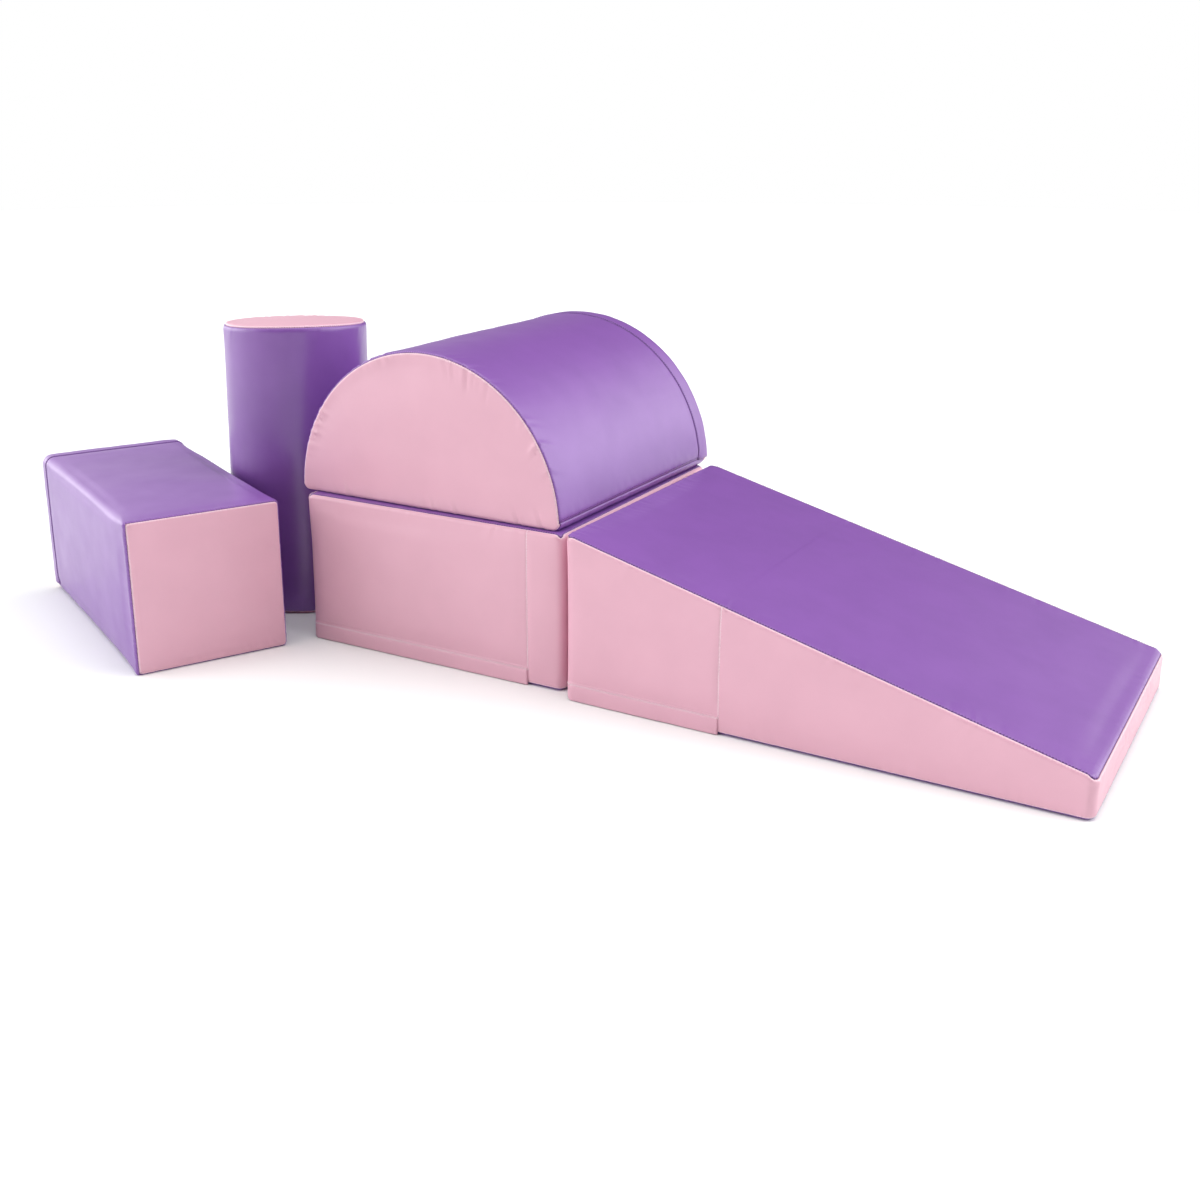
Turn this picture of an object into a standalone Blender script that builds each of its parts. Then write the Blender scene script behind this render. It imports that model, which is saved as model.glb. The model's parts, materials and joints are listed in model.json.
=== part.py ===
"""Soft play climber: five foam blocks, each zipped or strapped into a stitched cover.

A square base block carries a half-round block. A ramp stands at its right, and a
long box and an upright cylinder stand at its left, all on one floor.
Metres, +Z up. The origin is the middle of the base block's underside, and +X runs
along the row to the ramp's low end.
"""
import math
from collections import namedtuple

import bmesh
import bpy
from mathutils import Matrix, Vector
from mathutils.kdtree import KDTree

# Covers and foam
cover_thickness = 0.0012
seam_gap = 0.0004
seat_gap = 0.0003
edge_radius = 0.010
corner_radius = 0.016
side_crown = 0.003
top_crown = 0.006
end_crown = 0.004

# Base block
base_length = 0.590
base_depth = 0.606
base_height = 0.300
base_seam_inset = 0.076

# Ramp
ramp_length = 0.927
ramp_depth = 0.607
ramp_high = 0.312
ramp_low = 0.072
ramp_seam_reach = 0.306
ramp_clear = 0.016
ramp_step = 0.022
ramp_turn = math.radians(-0.8)

# Half-round block, as deep as the base block and a little wider
arch_overhang = 0.007
arch_radius = base_length / 2 + arch_overhang
arch_depth = base_depth
arch_foot_radius = 0.016
arch_shift_x = -0.016
arch_shift_y = 0.022
arch_turn = math.radians(-1.0)
arch_fly_width = 0.044

# Box
box_width = 0.300
box_height = 0.302
box_length = 0.625
box_clear_x = 0.010
box_clear_y = 0.066
box_turn = math.radians(62.4)
box_fly_width = 0.033

# Cylinder
cylinder_radius = 0.150
cylinder_height = 0.605
cylinder_top_radius = 0.014
cylinder_base_clear = 0.040
cylinder_box_clear = 0.015
cylinder_turn = math.radians(131.0)
cylinder_zip_margin = 0.030

# Hook-and-loop hem along the front of the base block and of the ramp
hem_height = 0.031
hem_overlap = 0.006
hem_flare = 0.0012
hem_floor_gap = 0.0008
hem_end_gap = 0.0015
strip_width = 0.018
strip_thickness = 0.0010

# Zips
zip_tape_width = 0.016
zip_tape_thickness = 0.0008
zip_chain_width = 0.006
zip_chain_height = 0.0012
slider_width = 0.0095
slider_length = 0.012
slider_height = 0.0030
slider_clear = 0.0003
pull_length = 0.012
pull_width = 0.006
pull_thickness = 0.0008

# The folded fly that covers a zip
fly_lift = 0.0042
fly_sewn_width = 0.005
fly_rise_width = 0.004
fly_free_inset = 0.004

# Counts and shares of the soft shapes
corner_steps = 2
arch_steps = 28
cylinder_steps = 30
cap_shares = (0.8, 0.45)
side_shares = (0.25, 0.5, 0.75)
band_shares = (0.33, 0.67)
arch_centre_share = 0.42
seam_merge_share = 1.5

# Angle of a seam on a rounded edge, measured from the end panel
edge_seam_angle = math.radians(45)
face_seam_angle = math.radians(14)
cylinder_seam_angle = math.radians(22)

purple = ("purple_cover", (0.262, 0.108, 0.436), 0.42)
pink = ("pink_cover", (0.830, 0.520, 0.640), 0.42)
foam = ("white_foam", (0.800, 0.790, 0.760), 0.90)
hook = ("hook_tape", (0.720, 0.420, 0.540), 0.85)
loop = ("loop_tape", (0.220, 0.090, 0.380), 0.95)
tape = ("zip_tape", (0.180, 0.080, 0.300), 0.85)
chain = ("zip_chain", (0.240, 0.110, 0.380), 0.45)
metal = ("slider_metal", (0.560, 0.550, 0.540), 0.32)

Column = namedtuple("Column", "point out crown part")
Course = namedtuple("Course", "height inset crown part")


def clear_scene():
    for thing in list(bpy.data.objects):
        bpy.data.objects.remove(thing, do_unlink=True)


def new_collection(name):
    collection = bpy.data.collections.new(name)
    bpy.context.scene.collection.children.link(collection)
    return collection


clear_scene()
climber = new_collection("soft_play_climber")
cutters = new_collection("cutters")


def material(finish):
    name, colour, roughness = finish
    if name in bpy.data.materials:
        return bpy.data.materials[name]
    made = bpy.data.materials.new(name)
    made.use_nodes = True
    shader = made.node_tree.nodes["Principled BSDF"]
    shader.inputs["Base Color"].default_value = (*colour, 1)
    shader.inputs["Roughness"].default_value = roughness
    shader.inputs["Metallic"].default_value = 1 if finish is metal else 0
    return made


def turn_about_z(angle):
    return Matrix.Rotation(angle, 3, "Z")


def add_frame(name, location, rotation=(0, 0, 0), parent=None):
    """An empty that places the pieces of one block or one moving piece."""
    frame = bpy.data.objects.new(name, None)
    frame.location = location
    frame.rotation_euler = rotation
    frame.parent = parent
    climber.objects.link(frame)
    return frame


def add_piece(name, shape, finish, frame, collection=climber):
    mesh = bpy.data.meshes.new(name)
    shape.to_mesh(mesh)
    shape.free()
    mesh.materials.append(material(finish))
    mesh.shade_smooth()
    mesh.set_sharp_from_angle(angle=math.radians(35))
    piece = bpy.data.objects.new(name, mesh)
    piece.parent = frame
    collection.objects.link(piece)
    return piece


# Outlines: the columns of a skin, anticlockwise seen from its upper end

def corner_columns(centre, radius, first_angle, last_angle, parts):
    columns = []
    for step, part in enumerate(parts):
        angle = first_angle + (last_angle - first_angle) * step / (len(parts) - 1)
        out = Vector((math.cos(angle), math.sin(angle)))
        columns.append(Column(Vector(centre) + out * radius, out, 0, part))
    return columns


def side_column(start, end, reach, crown, part):
    """A column at a distance along the straight side from start to end."""
    along = (end - start).normalized()
    out = Vector((along.y, -along.x))
    return Column(start + along * reach, out, crown, part)


def side_columns(start, end, part, crowned=True):
    columns = []
    for share in side_shares:
        crown = 4 * share * (1 - share) if crowned else 0
        columns.append(side_column(start, end, (end - start).length * share, crown, part))
    return columns


def rectangle_corners(left, right, bottom, top, radius):
    """Corner columns of a rounded rectangle, from the lower right one."""
    quarter = math.pi / 2
    centres = ((right - radius, bottom + radius), (right - radius, top - radius),
               (left + radius, top - radius), (left + radius, bottom + radius))
    parts = ["plain"] * (corner_steps + 1)
    return [corner_columns(centre, radius, quarter * (turn - 1), quarter * turn, parts)
            for turn, centre in enumerate(centres)]


def block_outline(length, depth, seam_reach):
    """A block seen from above: its band is seamed, and its hem opens, on the front side."""
    corners = rectangle_corners(-length / 2, length / 2, -depth / 2, depth / 2, corner_radius)
    front_start = corners[3][-1].point
    front_end = corners[0][0].point
    seam_reach = seam_reach - corner_radius
    front = [side_column(front_start, front_end, seam_gap, 0, "hem")]
    for share in side_shares[:2]:
        front.append(side_column(front_start, front_end, seam_reach * share, 1, "hem"))
    front.append(side_column(front_start, front_end, seam_reach - seam_gap / 2, 1, "seam"))
    front.append(side_column(front_start, front_end, seam_reach + seam_gap / 2, 1, "plain"))
    last = corners[3].pop()
    columns = corners[3] + [last._replace(part="hem_end")] + front
    for turn in range(3):
        columns += corners[turn]
        columns += side_columns(corners[turn][-1].point, corners[turn + 1][0].point, "plain")
    return columns


def arch_outline():
    """The half-round end: a flat foot, two rounded foot corners and the arc."""
    inner = arch_radius - arch_foot_radius
    foot_reach = math.sqrt(inner ** 2 - arch_foot_radius ** 2)
    foot_angle = math.asin(arch_foot_radius / inner)
    down = -math.pi / 2
    foot_parts = ["foot"] * corner_steps
    right = corner_columns((foot_reach, arch_foot_radius), arch_foot_radius, down, foot_angle,
                           foot_parts + ["foot_gap"])
    left = corner_columns((-foot_reach, arch_foot_radius), arch_foot_radius,
                          math.pi - foot_angle, -down * 3, ["foot"] + foot_parts)
    gap_angle = seam_gap / arch_radius
    arc = corner_columns((0, 0), arch_radius, foot_angle + gap_angle,
                         math.pi - foot_angle - gap_angle,
                         ["arc"] * arch_steps + ["foot_gap"])
    arc = [column._replace(crown=math.sin(math.pi * step / arch_steps))
           for step, column in enumerate(arc)]
    return left + right + arc


def box_outline():
    """The box's end, whose zip runs up one side, over the top and down the other."""
    corners = rectangle_corners(-box_width / 2, box_width / 2, 0, box_height, corner_radius)
    ends = [(corners[turn][-1].point, corners[(turn + 1) % 4][0].point) for turn in range(4)]
    under = side_columns(*ends[3], "under", crowned=False)
    right = side_columns(*ends[0], "wall")
    over = side_columns(*ends[1], "wall")
    left = side_columns(*ends[2], "wall")
    right.insert(0, side_column(*ends[0], seam_gap, 0, "wall"))
    left.append(side_column(*ends[2], (ends[2][1] - ends[2][0]).length - seam_gap, 0, "zip_end"))
    low_right = [column._replace(part="under") for column in corners[0]]
    low_right[-1] = low_right[-1]._replace(part="zip_end")
    low_left = [column._replace(part="under") for column in corners[3]]
    high_right = [column._replace(part="wall") for column in corners[1]]
    high_left = [column._replace(part="wall") for column in corners[2]]
    return low_left + under + low_right + right + high_right + over + high_left + left


def cylinder_outline():
    """A circle that starts at the zip on the +X side."""
    half_tape = zip_tape_width / 2 / cylinder_radius
    gap = seam_gap / cylinder_radius
    columns = []

    def add(angle, part):
        out = Vector((math.cos(angle), math.sin(angle)))
        columns.append(Column(out * cylinder_radius, out, 0, part))

    add(-half_tape - gap, "zip_side")
    add(-half_tape, "zip")
    add(0, "zip")
    add(half_tape, "zip_side")
    rest = half_tape + gap
    for step in range(cylinder_steps):
        add(rest + (2 * math.pi - 2 * rest) * step / cylinder_steps, "plain")
    return columns


# Courses: the rows of a skin, from its lower end to its upper end

def rounding(angle, radius):
    """Height above the end and inset from the side, on an edge's quarter round."""
    return radius * (1 - math.cos(angle)), radius * (1 - math.sin(angle))


def lower_edge(radius, seam_angle, parts, start=0):
    """Courses up a rounded edge, with the seam's two lips in it."""
    lip = seam_gap / 2 / radius
    angles = [0, seam_angle - lip, seam_angle + lip, math.pi / 2]
    if seam_angle < edge_seam_angle:
        angles.insert(3, (seam_angle + math.pi / 2) / 2)
        parts = parts[:3] + parts[2:]
    courses = []
    for angle, part in zip(angles, parts):
        height, inset = rounding(angle, radius)
        courses.append(Course(start + height, inset, 0, part))
    return courses


def upper_edge(top, radius, seam_angle, parts):
    """The same edge turned over, from the side up to the end panel."""
    lip = seam_gap / 2 / radius
    angles = [math.pi / 2, seam_angle + lip, seam_angle - lip, 0]
    if seam_angle < edge_seam_angle:
        angles.insert(1, (seam_angle + math.pi / 2) / 2)
        parts = parts[:1] + parts
    courses = []
    for angle, part in zip(angles, parts):
        height, inset = rounding(angle, radius)
        courses.append(Course(top - height, inset, 0, part))
    return courses


def between(low, high, part):
    return [Course(low + (high - low) * share, 0, 1, part) for share in band_shares]


def block_courses(height):
    courses = lower_edge(edge_radius, edge_seam_angle, ["bottom", "low_gap", "skirt", "skirt"])
    courses.append(Course(hem_height - seam_gap / 2, 0, 0, "hem_gap"))
    courses.append(Course(hem_height + seam_gap / 2, 0, 0, "band"))
    courses.append(Course(hem_height + hem_overlap, 0, 0, "band"))
    courses += between(hem_height + hem_overlap, height - edge_radius, "band")
    courses += upper_edge(height, edge_radius, edge_seam_angle,
                          ["band", "high_gap", "top", "top"])
    return courses


def zip_start():
    return edge_radius + seam_gap


def zipped_courses(length):
    """Courses from the zipped rear end to the front end."""
    height, inset = rounding(math.pi / 4, edge_radius)
    courses = [Course(0, edge_radius, 0, "rear"), Course(height, inset, 0, "rear"),
               Course(edge_radius, 0, 0, "rear_gap"), Course(zip_start(), 0, 0, "zip"),
               Course(zip_start() + zip_tape_width, 0, 0, "zip_gap"),
               Course(zip_start() + zip_tape_width + seam_gap, 0, 0, "wrap")]
    courses.append(Course(max(arch_fly_width, box_fly_width) + fly_sewn_width, 0, 0, "wrap"))
    courses += between(courses[-1].height, length - edge_radius, "wrap")
    courses += upper_edge(length, edge_radius, face_seam_angle,
                          ["wrap", "front_gap", "front", "front"])
    return courses


def cylinder_courses():
    courses = lower_edge(edge_radius, edge_seam_angle, ["bottom", "low_gap", "band", "band"])
    low = cylinder_zip_margin
    high = cylinder_height - cylinder_zip_margin
    courses += [Course(low, 0, 0, "zip_end"), Course(low + seam_gap, 0, 0, "run"),
                Course(high, 0, 0, "zip_end"), Course(high + seam_gap, 0, 0, "band")]
    courses += upper_edge(cylinder_height, cylinder_top_radius, cylinder_seam_angle,
                          ["band", "high_gap", "top", "top"])
    return courses


# Which panel a patch of skin belongs to, or none where it is a seam

def block_panel(course, column):
    if course == "bottom":
        return "bottom_panel"
    if course == "top":
        return "top_panel"
    if column == "hem" and course in ("low_gap", "skirt"):
        return "bottom_panel"
    if course in ("low_gap", "high_gap") or column == "seam":
        return None
    if column == "hem" and course == "hem_gap":
        return None
    if column == "hem_end" and course in ("skirt", "hem_gap"):
        return None
    return "side_band"


def end_panel(course):
    if course in ("rear", "front"):
        return course + "_panel"
    return None


def arch_panel(course, column):
    if course in ("rear", "front", "rear_gap", "front_gap"):
        return end_panel(course)
    if column == "foot":
        return "bottom_panel"
    if column == "foot_gap" or course == "zip_gap":
        return None
    return "zip_tape" if course == "zip" else "wrap"


def box_panel(course, column):
    if course in ("rear", "front", "rear_gap", "front_gap"):
        return end_panel(course)
    if course == "wrap" or column == "under":
        return "wrap"
    if course == "zip" and column == "wall":
        return "zip_tape"
    return None


def cylinder_panel(course, column):
    if course == "bottom":
        return "bottom_panel"
    if course == "top":
        return "top_panel"
    if course in ("low_gap", "high_gap"):
        return None
    if column == "plain" or course == "band":
        return "wrap"
    if column == "zip" and course == "run":
        return "zip_tape"
    return None


# Skins and what is cut from them

def cap_rings(ring, centre, crown):
    """Rings drawn in over an end face, which rises to a crown in its middle."""
    if crown == 0:
        return []
    rings = []
    for share in cap_shares:
        rise = Vector((0, 0, crown * (1 - share ** 2)))
        rings.append([centre + (place - centre) * share + rise for place in ring])
    return rings


def at_height(centre, height):
    return Vector((centre[0], centre[1], height))


def make_skin(columns, courses, panel_of, centre=(0, 0), lower_crown=0, upper_crown=0,
              settle=Vector):
    """A closed skin lofted through its courses, with each face marked with its panel."""
    sides = []
    for course in courses:
        ring = []
        for column in columns:
            reach = side_crown * course.crown * column.crown - course.inset
            place = column.point + column.out * reach
            ring.append(Vector((place.x, place.y, course.height)))
        sides.append(ring)
    low_centre = at_height(centre, courses[0].height)
    high_centre = at_height(centre, courses[-1].height)
    lower = cap_rings(sides[0], low_centre, -lower_crown)[::-1]
    upper = cap_rings(sides[-1], high_centre, upper_crown)
    parts = [courses[0].part] * len(lower)
    parts += [course.part for course in courses[:-1]]
    parts += [courses[-1].part] * len(upper)

    skin = bmesh.new()
    mark = skin.faces.layers.int.new("panel")
    panels = []

    def add_face(verts, course, column):
        face = skin.faces.new(verts)
        panel = panel_of(course, column)
        if panel and panel not in panels:
            panels.append(panel)
        face[mark] = panels.index(panel) + 1 if panel else 0

    grid = [[skin.verts.new(settle(place)) for place in ring] for ring in lower + sides + upper]
    count = len(columns)
    for row, part in enumerate(parts):
        for step, column in enumerate(columns):
            after = (step + 1) % count
            add_face((grid[row][step], grid[row][after], grid[row + 1][after], grid[row + 1][step]),
                     part, column.part)
    close_end(skin, grid[0][::-1], low_centre, -lower_crown, courses[0].part, add_face, settle)
    close_end(skin, grid[-1], high_centre, upper_crown, courses[-1].part, add_face, settle)
    inner = [vert for ring in grid[:len(lower)] + grid[len(grid) - len(upper):] for vert in ring]
    bmesh.ops.remove_doubles(skin, verts=inner, dist=seam_gap)
    mark_outward(skin)
    return skin, panels


def mark_outward(skin):
    """Store each vertex's outward direction, the same on both lips of a seam."""
    closed = skin.copy()
    reach = seam_gap * seam_merge_share
    bmesh.ops.remove_doubles(closed, verts=closed.verts, dist=reach)
    closed.normal_update()
    nearest = KDTree(len(closed.verts))
    for step, vert in enumerate(closed.verts):
        nearest.insert(vert.co, step)
    nearest.balance()
    closed.verts.ensure_lookup_table()
    out = skin.verts.layers.float_vector.new("out")
    for vert in skin.verts:
        vert[out] = closed.verts[nearest.find(vert.co)[1]].normal
    closed.free()


def close_end(skin, ring, centre, crown, part, add_face, settle):
    if crown == 0:
        add_face(ring, part, "plain")
        return
    pole = skin.verts.new(settle(centre + Vector((0, 0, crown))))
    for step, vert in enumerate(ring):
        add_face((vert, ring[(step + 1) % len(ring)], pole), part, "plain")


def new_verts(made):
    return [thing for thing in made["geom"] if isinstance(thing, bmesh.types.BMVert)]


def cover_panel(name, skin, index, thickness, finish, frame):
    """One panel of a cover: its patch of the skin, given its thickness inwards."""
    shape = skin.copy()
    mark = shape.faces.layers.int["panel"]
    out = shape.verts.layers.float_vector["out"]
    others = [face for face in shape.faces if face[mark] != index]
    bmesh.ops.delete(shape, geom=others, context="FACES")
    for vert in new_verts(bmesh.ops.extrude_face_region(shape, geom=shape.faces[:])):
        vert.co -= vert[out] * thickness
    bmesh.ops.recalc_face_normals(shape, faces=shape.faces)
    add_piece(name, shape, finish, frame)


def foam_core(name, skin, frame):
    """The foam fills the cover and leaves only the seat gap under it."""
    shape = skin.copy()
    out = shape.verts.layers.float_vector["out"]
    for vert in shape.verts:
        vert.co -= vert[out] * (cover_thickness + seat_gap)
    bmesh.ops.remove_doubles(shape, verts=shape.verts, dist=seam_gap * seam_merge_share)
    add_piece(name, shape, foam, frame)


def covered_block(block, skin, panels, finishes, frame):
    for index, panel in enumerate(panels, start=1):
        thickness = zip_tape_thickness if panel == "zip_tape" else cover_thickness
        cover_panel(block + "_" + panel, skin, index, thickness, finishes[panel], frame)
    foam_core(block + "_foam_core", skin, frame)
    skin.free()


# Straight and swept pieces on a cover

def extruded(name, section, start, end, finish, frame):
    """A closed section of Y and Z, run along X from start to end."""
    shape = bmesh.new()
    face = shape.faces.new([shape.verts.new((start, y, z)) for y, z in section])
    made = bmesh.ops.extrude_face_region(shape, geom=[face])
    bmesh.ops.translate(shape, verts=new_verts(made), vec=(end - start, 0, 0))
    bmesh.ops.recalc_face_normals(shape, faces=shape.faces)
    return add_piece(name, shape, finish, frame)


def swept(name, columns, section, finish, frame):
    """A closed section of distance from the rear end and height off the skin."""
    shape = bmesh.new()
    rings = []
    for column in columns:
        ring = []
        for distance, height in section:
            place = column.point + column.out * height
            ring.append(shape.verts.new((place.x, place.y, distance)))
        rings.append(ring)
    count = len(section)
    for near, far in zip(rings, rings[1:]):
        for step in range(count):
            after = (step + 1) % count
            shape.faces.new((near[step], near[after], far[after], far[step]))
    shape.faces.new(rings[0])
    shape.faces.new(rings[-1])
    bmesh.ops.recalc_face_normals(shape, faces=shape.faces)
    return add_piece(name, shape, finish, frame)


def chain_section():
    """The closed teeth of a zip, as a ridge with sloped shoulders on its tape."""
    middle = zip_start() + zip_tape_width / 2
    half = zip_chain_width / 2
    shoulder = zip_chain_height / 2
    foot = seat_gap
    top = seat_gap + zip_chain_height
    return [(middle - half, foot), (middle + half, foot), (middle + half, foot + shoulder),
            (middle + half - shoulder, top), (middle - half + shoulder, top),
            (middle - half, foot + shoulder)]


def fly_section(width):
    """A fly sewn down at its front edge, then lifted over the zip to its free edge."""
    sewn = width - fly_sewn_width
    raised = sewn - fly_rise_width
    foot = seat_gap
    return [(width, foot), (width, foot + cover_thickness), (sewn, foot + cover_thickness),
            (raised, fly_lift + cover_thickness), (fly_free_inset, fly_lift + cover_thickness),
            (fly_free_inset, fly_lift), (raised - cover_thickness, fly_lift),
            (sewn - cover_thickness, foot)]


def box_shape(low, high):
    shape = bmesh.new()
    bmesh.ops.create_cube(shape, size=1)
    size = [top - bottom for bottom, top in zip(low, high)]
    bmesh.ops.scale(shape, verts=shape.verts, vec=size)
    middle = [(bottom + top) / 2 for bottom, top in zip(low, high)]
    bmesh.ops.translate(shape, verts=shape.verts, vec=middle)
    return shape


def boolean(piece, other, operation):
    other.hide_render = True
    other.display_type = "WIRE"
    cut = piece.modifiers.new(operation.lower(), "BOOLEAN")
    cut.operation = operation
    cut.object = other


def zip_slider(name, frame, upright):
    """A slider that straddles the chain, with its pull hanging along the zip.

    The frame's origin is on the skin: X points out of it and Y along the zip, or Z
    where the zip is upright.
    """
    half_width = slider_width / 2
    half_length = slider_length / 2
    foot = seat_gap
    groove_half = zip_chain_width / 2 + slider_clear
    groove_top = foot + zip_chain_height + slider_clear
    pull_low = groove_top + slider_clear
    parts = {
        "body": ((foot, -half_length, -half_width), (slider_height, half_length, half_width)),
        "groove": ((-foot, -slider_length, -groove_half), (groove_top, slider_length, groove_half)),
        "pull": ((pull_low, -half_length - pull_length, -pull_width / 2),
                 (pull_low + pull_thickness, 0, pull_width / 2))}
    turn = (math.pi / 2, 0, 0) if upright else (0, 0, 0)
    pieces = {}
    for part, (low, high) in parts.items():
        where = climber if part == "body" else cutters
        title = name if part == "body" else name + "_" + part
        pieces[part] = add_piece(title, box_shape(low, high), metal, frame, where)
        pieces[part].rotation_euler = turn
    bevel = pieces["body"].modifiers.new("soft_edges", "BEVEL")
    bevel.width = slider_clear
    bevel.segments = 1
    boolean(pieces["body"], pieces["groove"], "DIFFERENCE")
    boolean(pieces["body"], pieces["pull"], "UNION")


def hem_closure(block, start, end, face, frame):
    """Hook-and-loop hem: the loop strip on the block, the flap and hook strip on a hinge."""
    inner = seat_gap + strip_thickness + seat_gap + strip_thickness + seat_gap
    strip_low = edge_radius
    strip_high = strip_low + strip_width
    knee = strip_high + seat_gap
    top = hem_height + hem_overlap
    loop_out = seat_gap + strip_thickness
    extruded(block + "_loop_strip", [(face - seat_gap, strip_low), (face - loop_out, strip_low),
             (face - loop_out, strip_high), (face - seat_gap, strip_high)], start, end, loop, frame)
    hinge = add_frame(block + "_hem_hinge", (0, face - seat_gap - cover_thickness, top), (0, 0, 0),
                      frame)

    def on_hinge(points):
        return [(cover_thickness + seat_gap - out, height - top) for out, height in points]

    low = hem_floor_gap
    flap = [(seat_gap, top), (seat_gap, hem_height), (inner, knee), (inner + hem_flare, low),
            (inner + hem_flare + cover_thickness, low), (inner + cover_thickness, knee),
            (seat_gap + cover_thickness, hem_height), (seat_gap + cover_thickness, top)]
    extruded(block + "_hem_flap", on_hinge(flap), start, end, pink, hinge)
    hook_in = inner - seat_gap - strip_thickness
    strip = [(hook_in, strip_low), (hook_in, strip_high), (inner - seat_gap, strip_high),
             (inner - seat_gap, strip_low)]
    extruded(block + "_hook_strip", on_hinge(strip), start, end, hook, hinge)


# The five blocks

block_finishes = {"top_panel": purple, "bottom_panel": purple, "side_band": pink}
round_finishes = {"front_panel": pink, "rear_panel": pink, "bottom_panel": purple,
                  "wrap": purple, "zip_tape": tape}
cylinder_finishes = {"top_panel": pink, "bottom_panel": pink, "wrap": purple, "zip_tape": tape}


def build_base():
    frame = add_frame("base_frame", (0, 0, 0))
    seam_reach = base_length - base_seam_inset
    skin, panels = make_skin(block_outline(base_length, base_depth, seam_reach),
                             block_courses(base_height), block_panel)
    covered_block("base", skin, panels, block_finishes, frame)
    left = -base_length / 2
    hem_closure("base", left + corner_radius + hem_end_gap, left + seam_reach - hem_end_gap,
                -base_depth / 2, frame)


def ramp_slope(place):
    """Lower a point of the ramp's upright block onto its slope."""
    drop = (ramp_low - ramp_high) * (place.x + ramp_length / 2) / ramp_length
    low = hem_height + hem_overlap
    share = (place.z - low) / (ramp_high - edge_radius - low)
    return Vector((place.x, place.y, place.z + drop * min(max(share, 0), 1)))


def build_ramp():
    corner = Vector((base_length / 2 + ramp_clear, -base_depth / 2 - ramp_step, 0))
    middle = Vector((ramp_length / 2, ramp_depth / 2, 0))
    middle.rotate(turn_about_z(ramp_turn))
    frame = add_frame("ramp_frame", corner + middle, (0, 0, ramp_turn))
    skin, panels = make_skin(block_outline(ramp_length, ramp_depth, ramp_seam_reach),
                             block_courses(ramp_high), block_panel, upper_crown=top_crown,
                             settle=ramp_slope)
    covered_block("ramp", skin, panels, block_finishes, frame)
    high = -ramp_length / 2
    hem_closure("ramp", high + corner_radius + hem_end_gap, high + ramp_seam_reach - hem_end_gap,
                -ramp_depth / 2, frame)


def run_of(columns, part):
    """The columns that bound one run of patches, both ends included."""
    inside = [step for step, column in enumerate(columns) if column.part == part]
    return columns[inside[0]:inside[-1] + 2]


def build_arch():
    middle = Vector((arch_shift_x, arch_shift_y, base_height + seat_gap))
    to_rear = Vector((0, arch_depth / 2, 0))
    to_rear.rotate(turn_about_z(arch_turn))
    frame = add_frame("arch_frame", middle + to_rear, (math.pi / 2, 0, arch_turn))
    columns = arch_outline()
    skin, panels = make_skin(columns, zipped_courses(arch_depth), arch_panel,
                             (0, arch_radius * arch_centre_share), end_crown, end_crown)
    covered_block("arch", skin, panels, round_finishes, frame)
    arc = run_of(columns, "arc")
    swept("arch_zip_chain", arc, chain_section(), chain, frame)
    swept("arch_fly", arc, fly_section(arch_fly_width), purple, frame)
    foot_angle = math.atan2(arc[0].point.y, arc[0].point.x)
    rest_angle = foot_angle + (slider_length / 2 + pull_length + seat_gap) / arch_radius
    axle = add_frame("arch_zip_axis", (0, 0, 0), (0, 0, rest_angle), frame)
    seat = add_frame("arch_zip_seat", (arch_radius, 0, zip_start() + zip_tape_width / 2),
                     (0, 0, 0), axle)
    zip_slider("arch_zip_slider", seat, upright=False)


def box_frame_places():
    """The box's near corner beside the base block, and its two directions."""
    near = Vector((-base_length / 2 - box_clear_x, -base_depth / 2 - box_clear_y, 0))
    across = Vector((math.cos(box_turn), math.sin(box_turn), 0))
    along = Vector((-across.y, across.x, 0))
    return near, across, along


def build_box():
    near, across, along = box_frame_places()
    rear = near - across * box_width / 2 + along * box_length
    frame = add_frame("box_frame", rear, (math.pi / 2, 0, box_turn))
    columns = box_outline()
    skin, panels = make_skin(columns, zipped_courses(box_length), box_panel,
                             (0, box_height / 2), end_crown, end_crown)
    covered_block("box", skin, panels, round_finishes, frame)
    walls = [column._replace(crown=0) for column in run_of(columns, "wall")]
    swept("box_zip_chain", walls, chain_section(), chain, frame)
    swept("box_fly", walls, fly_section(box_fly_width), purple, frame)
    rest_height = walls[0].point.y + slider_length / 2 + pull_length + seat_gap
    seat = add_frame("box_zip_seat", (box_width / 2, rest_height,
                                      zip_start() + zip_tape_width / 2), (0, 0, 0), frame)
    zip_slider("box_zip_slider", seat, upright=False)


def build_cylinder():
    near, across, along = box_frame_places()
    reach_x = -base_length / 2 - cylinder_base_clear - cylinder_radius
    side = cylinder_radius + cylinder_box_clear
    reach_y = near.y + (side - (reach_x - near.x) * across.x) / across.y
    frame = add_frame("cylinder_frame", (reach_x, reach_y, 0), (0, 0, cylinder_turn))
    skin, panels = make_skin(cylinder_outline(), cylinder_courses(), cylinder_panel,
                             upper_crown=top_crown)
    covered_block("cylinder", skin, panels, cylinder_finishes, frame)
    half = zip_chain_width / 2
    foot = cylinder_radius + seat_gap
    shape = box_shape((foot, -half, cylinder_zip_margin + 2 * seam_gap),
                      (foot + zip_chain_height, half,
                       cylinder_height - cylinder_zip_margin - seam_gap))
    add_piece("cylinder_zip_chain", shape, chain, frame)
    rest_height = cylinder_zip_margin + seam_gap * 2 + slider_length / 2 + pull_length
    seat = add_frame("cylinder_zip_seat", (cylinder_radius, 0, rest_height), (0, 0, 0), frame)
    zip_slider("cylinder_zip_slider", seat, upright=True)


build_base()
build_ramp()
build_arch()
build_box()
build_cylinder()
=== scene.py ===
"""Soft play climber, dressed: five foam blocks in stitched covers of smooth coated cloth.

Each cover is a fine skin over its packed block, swollen between its seams, drawn in and
puckered along them, and split into the panels that it is sewn from.
"""
import json
import math
from collections import namedtuple
from functools import partial

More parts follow.
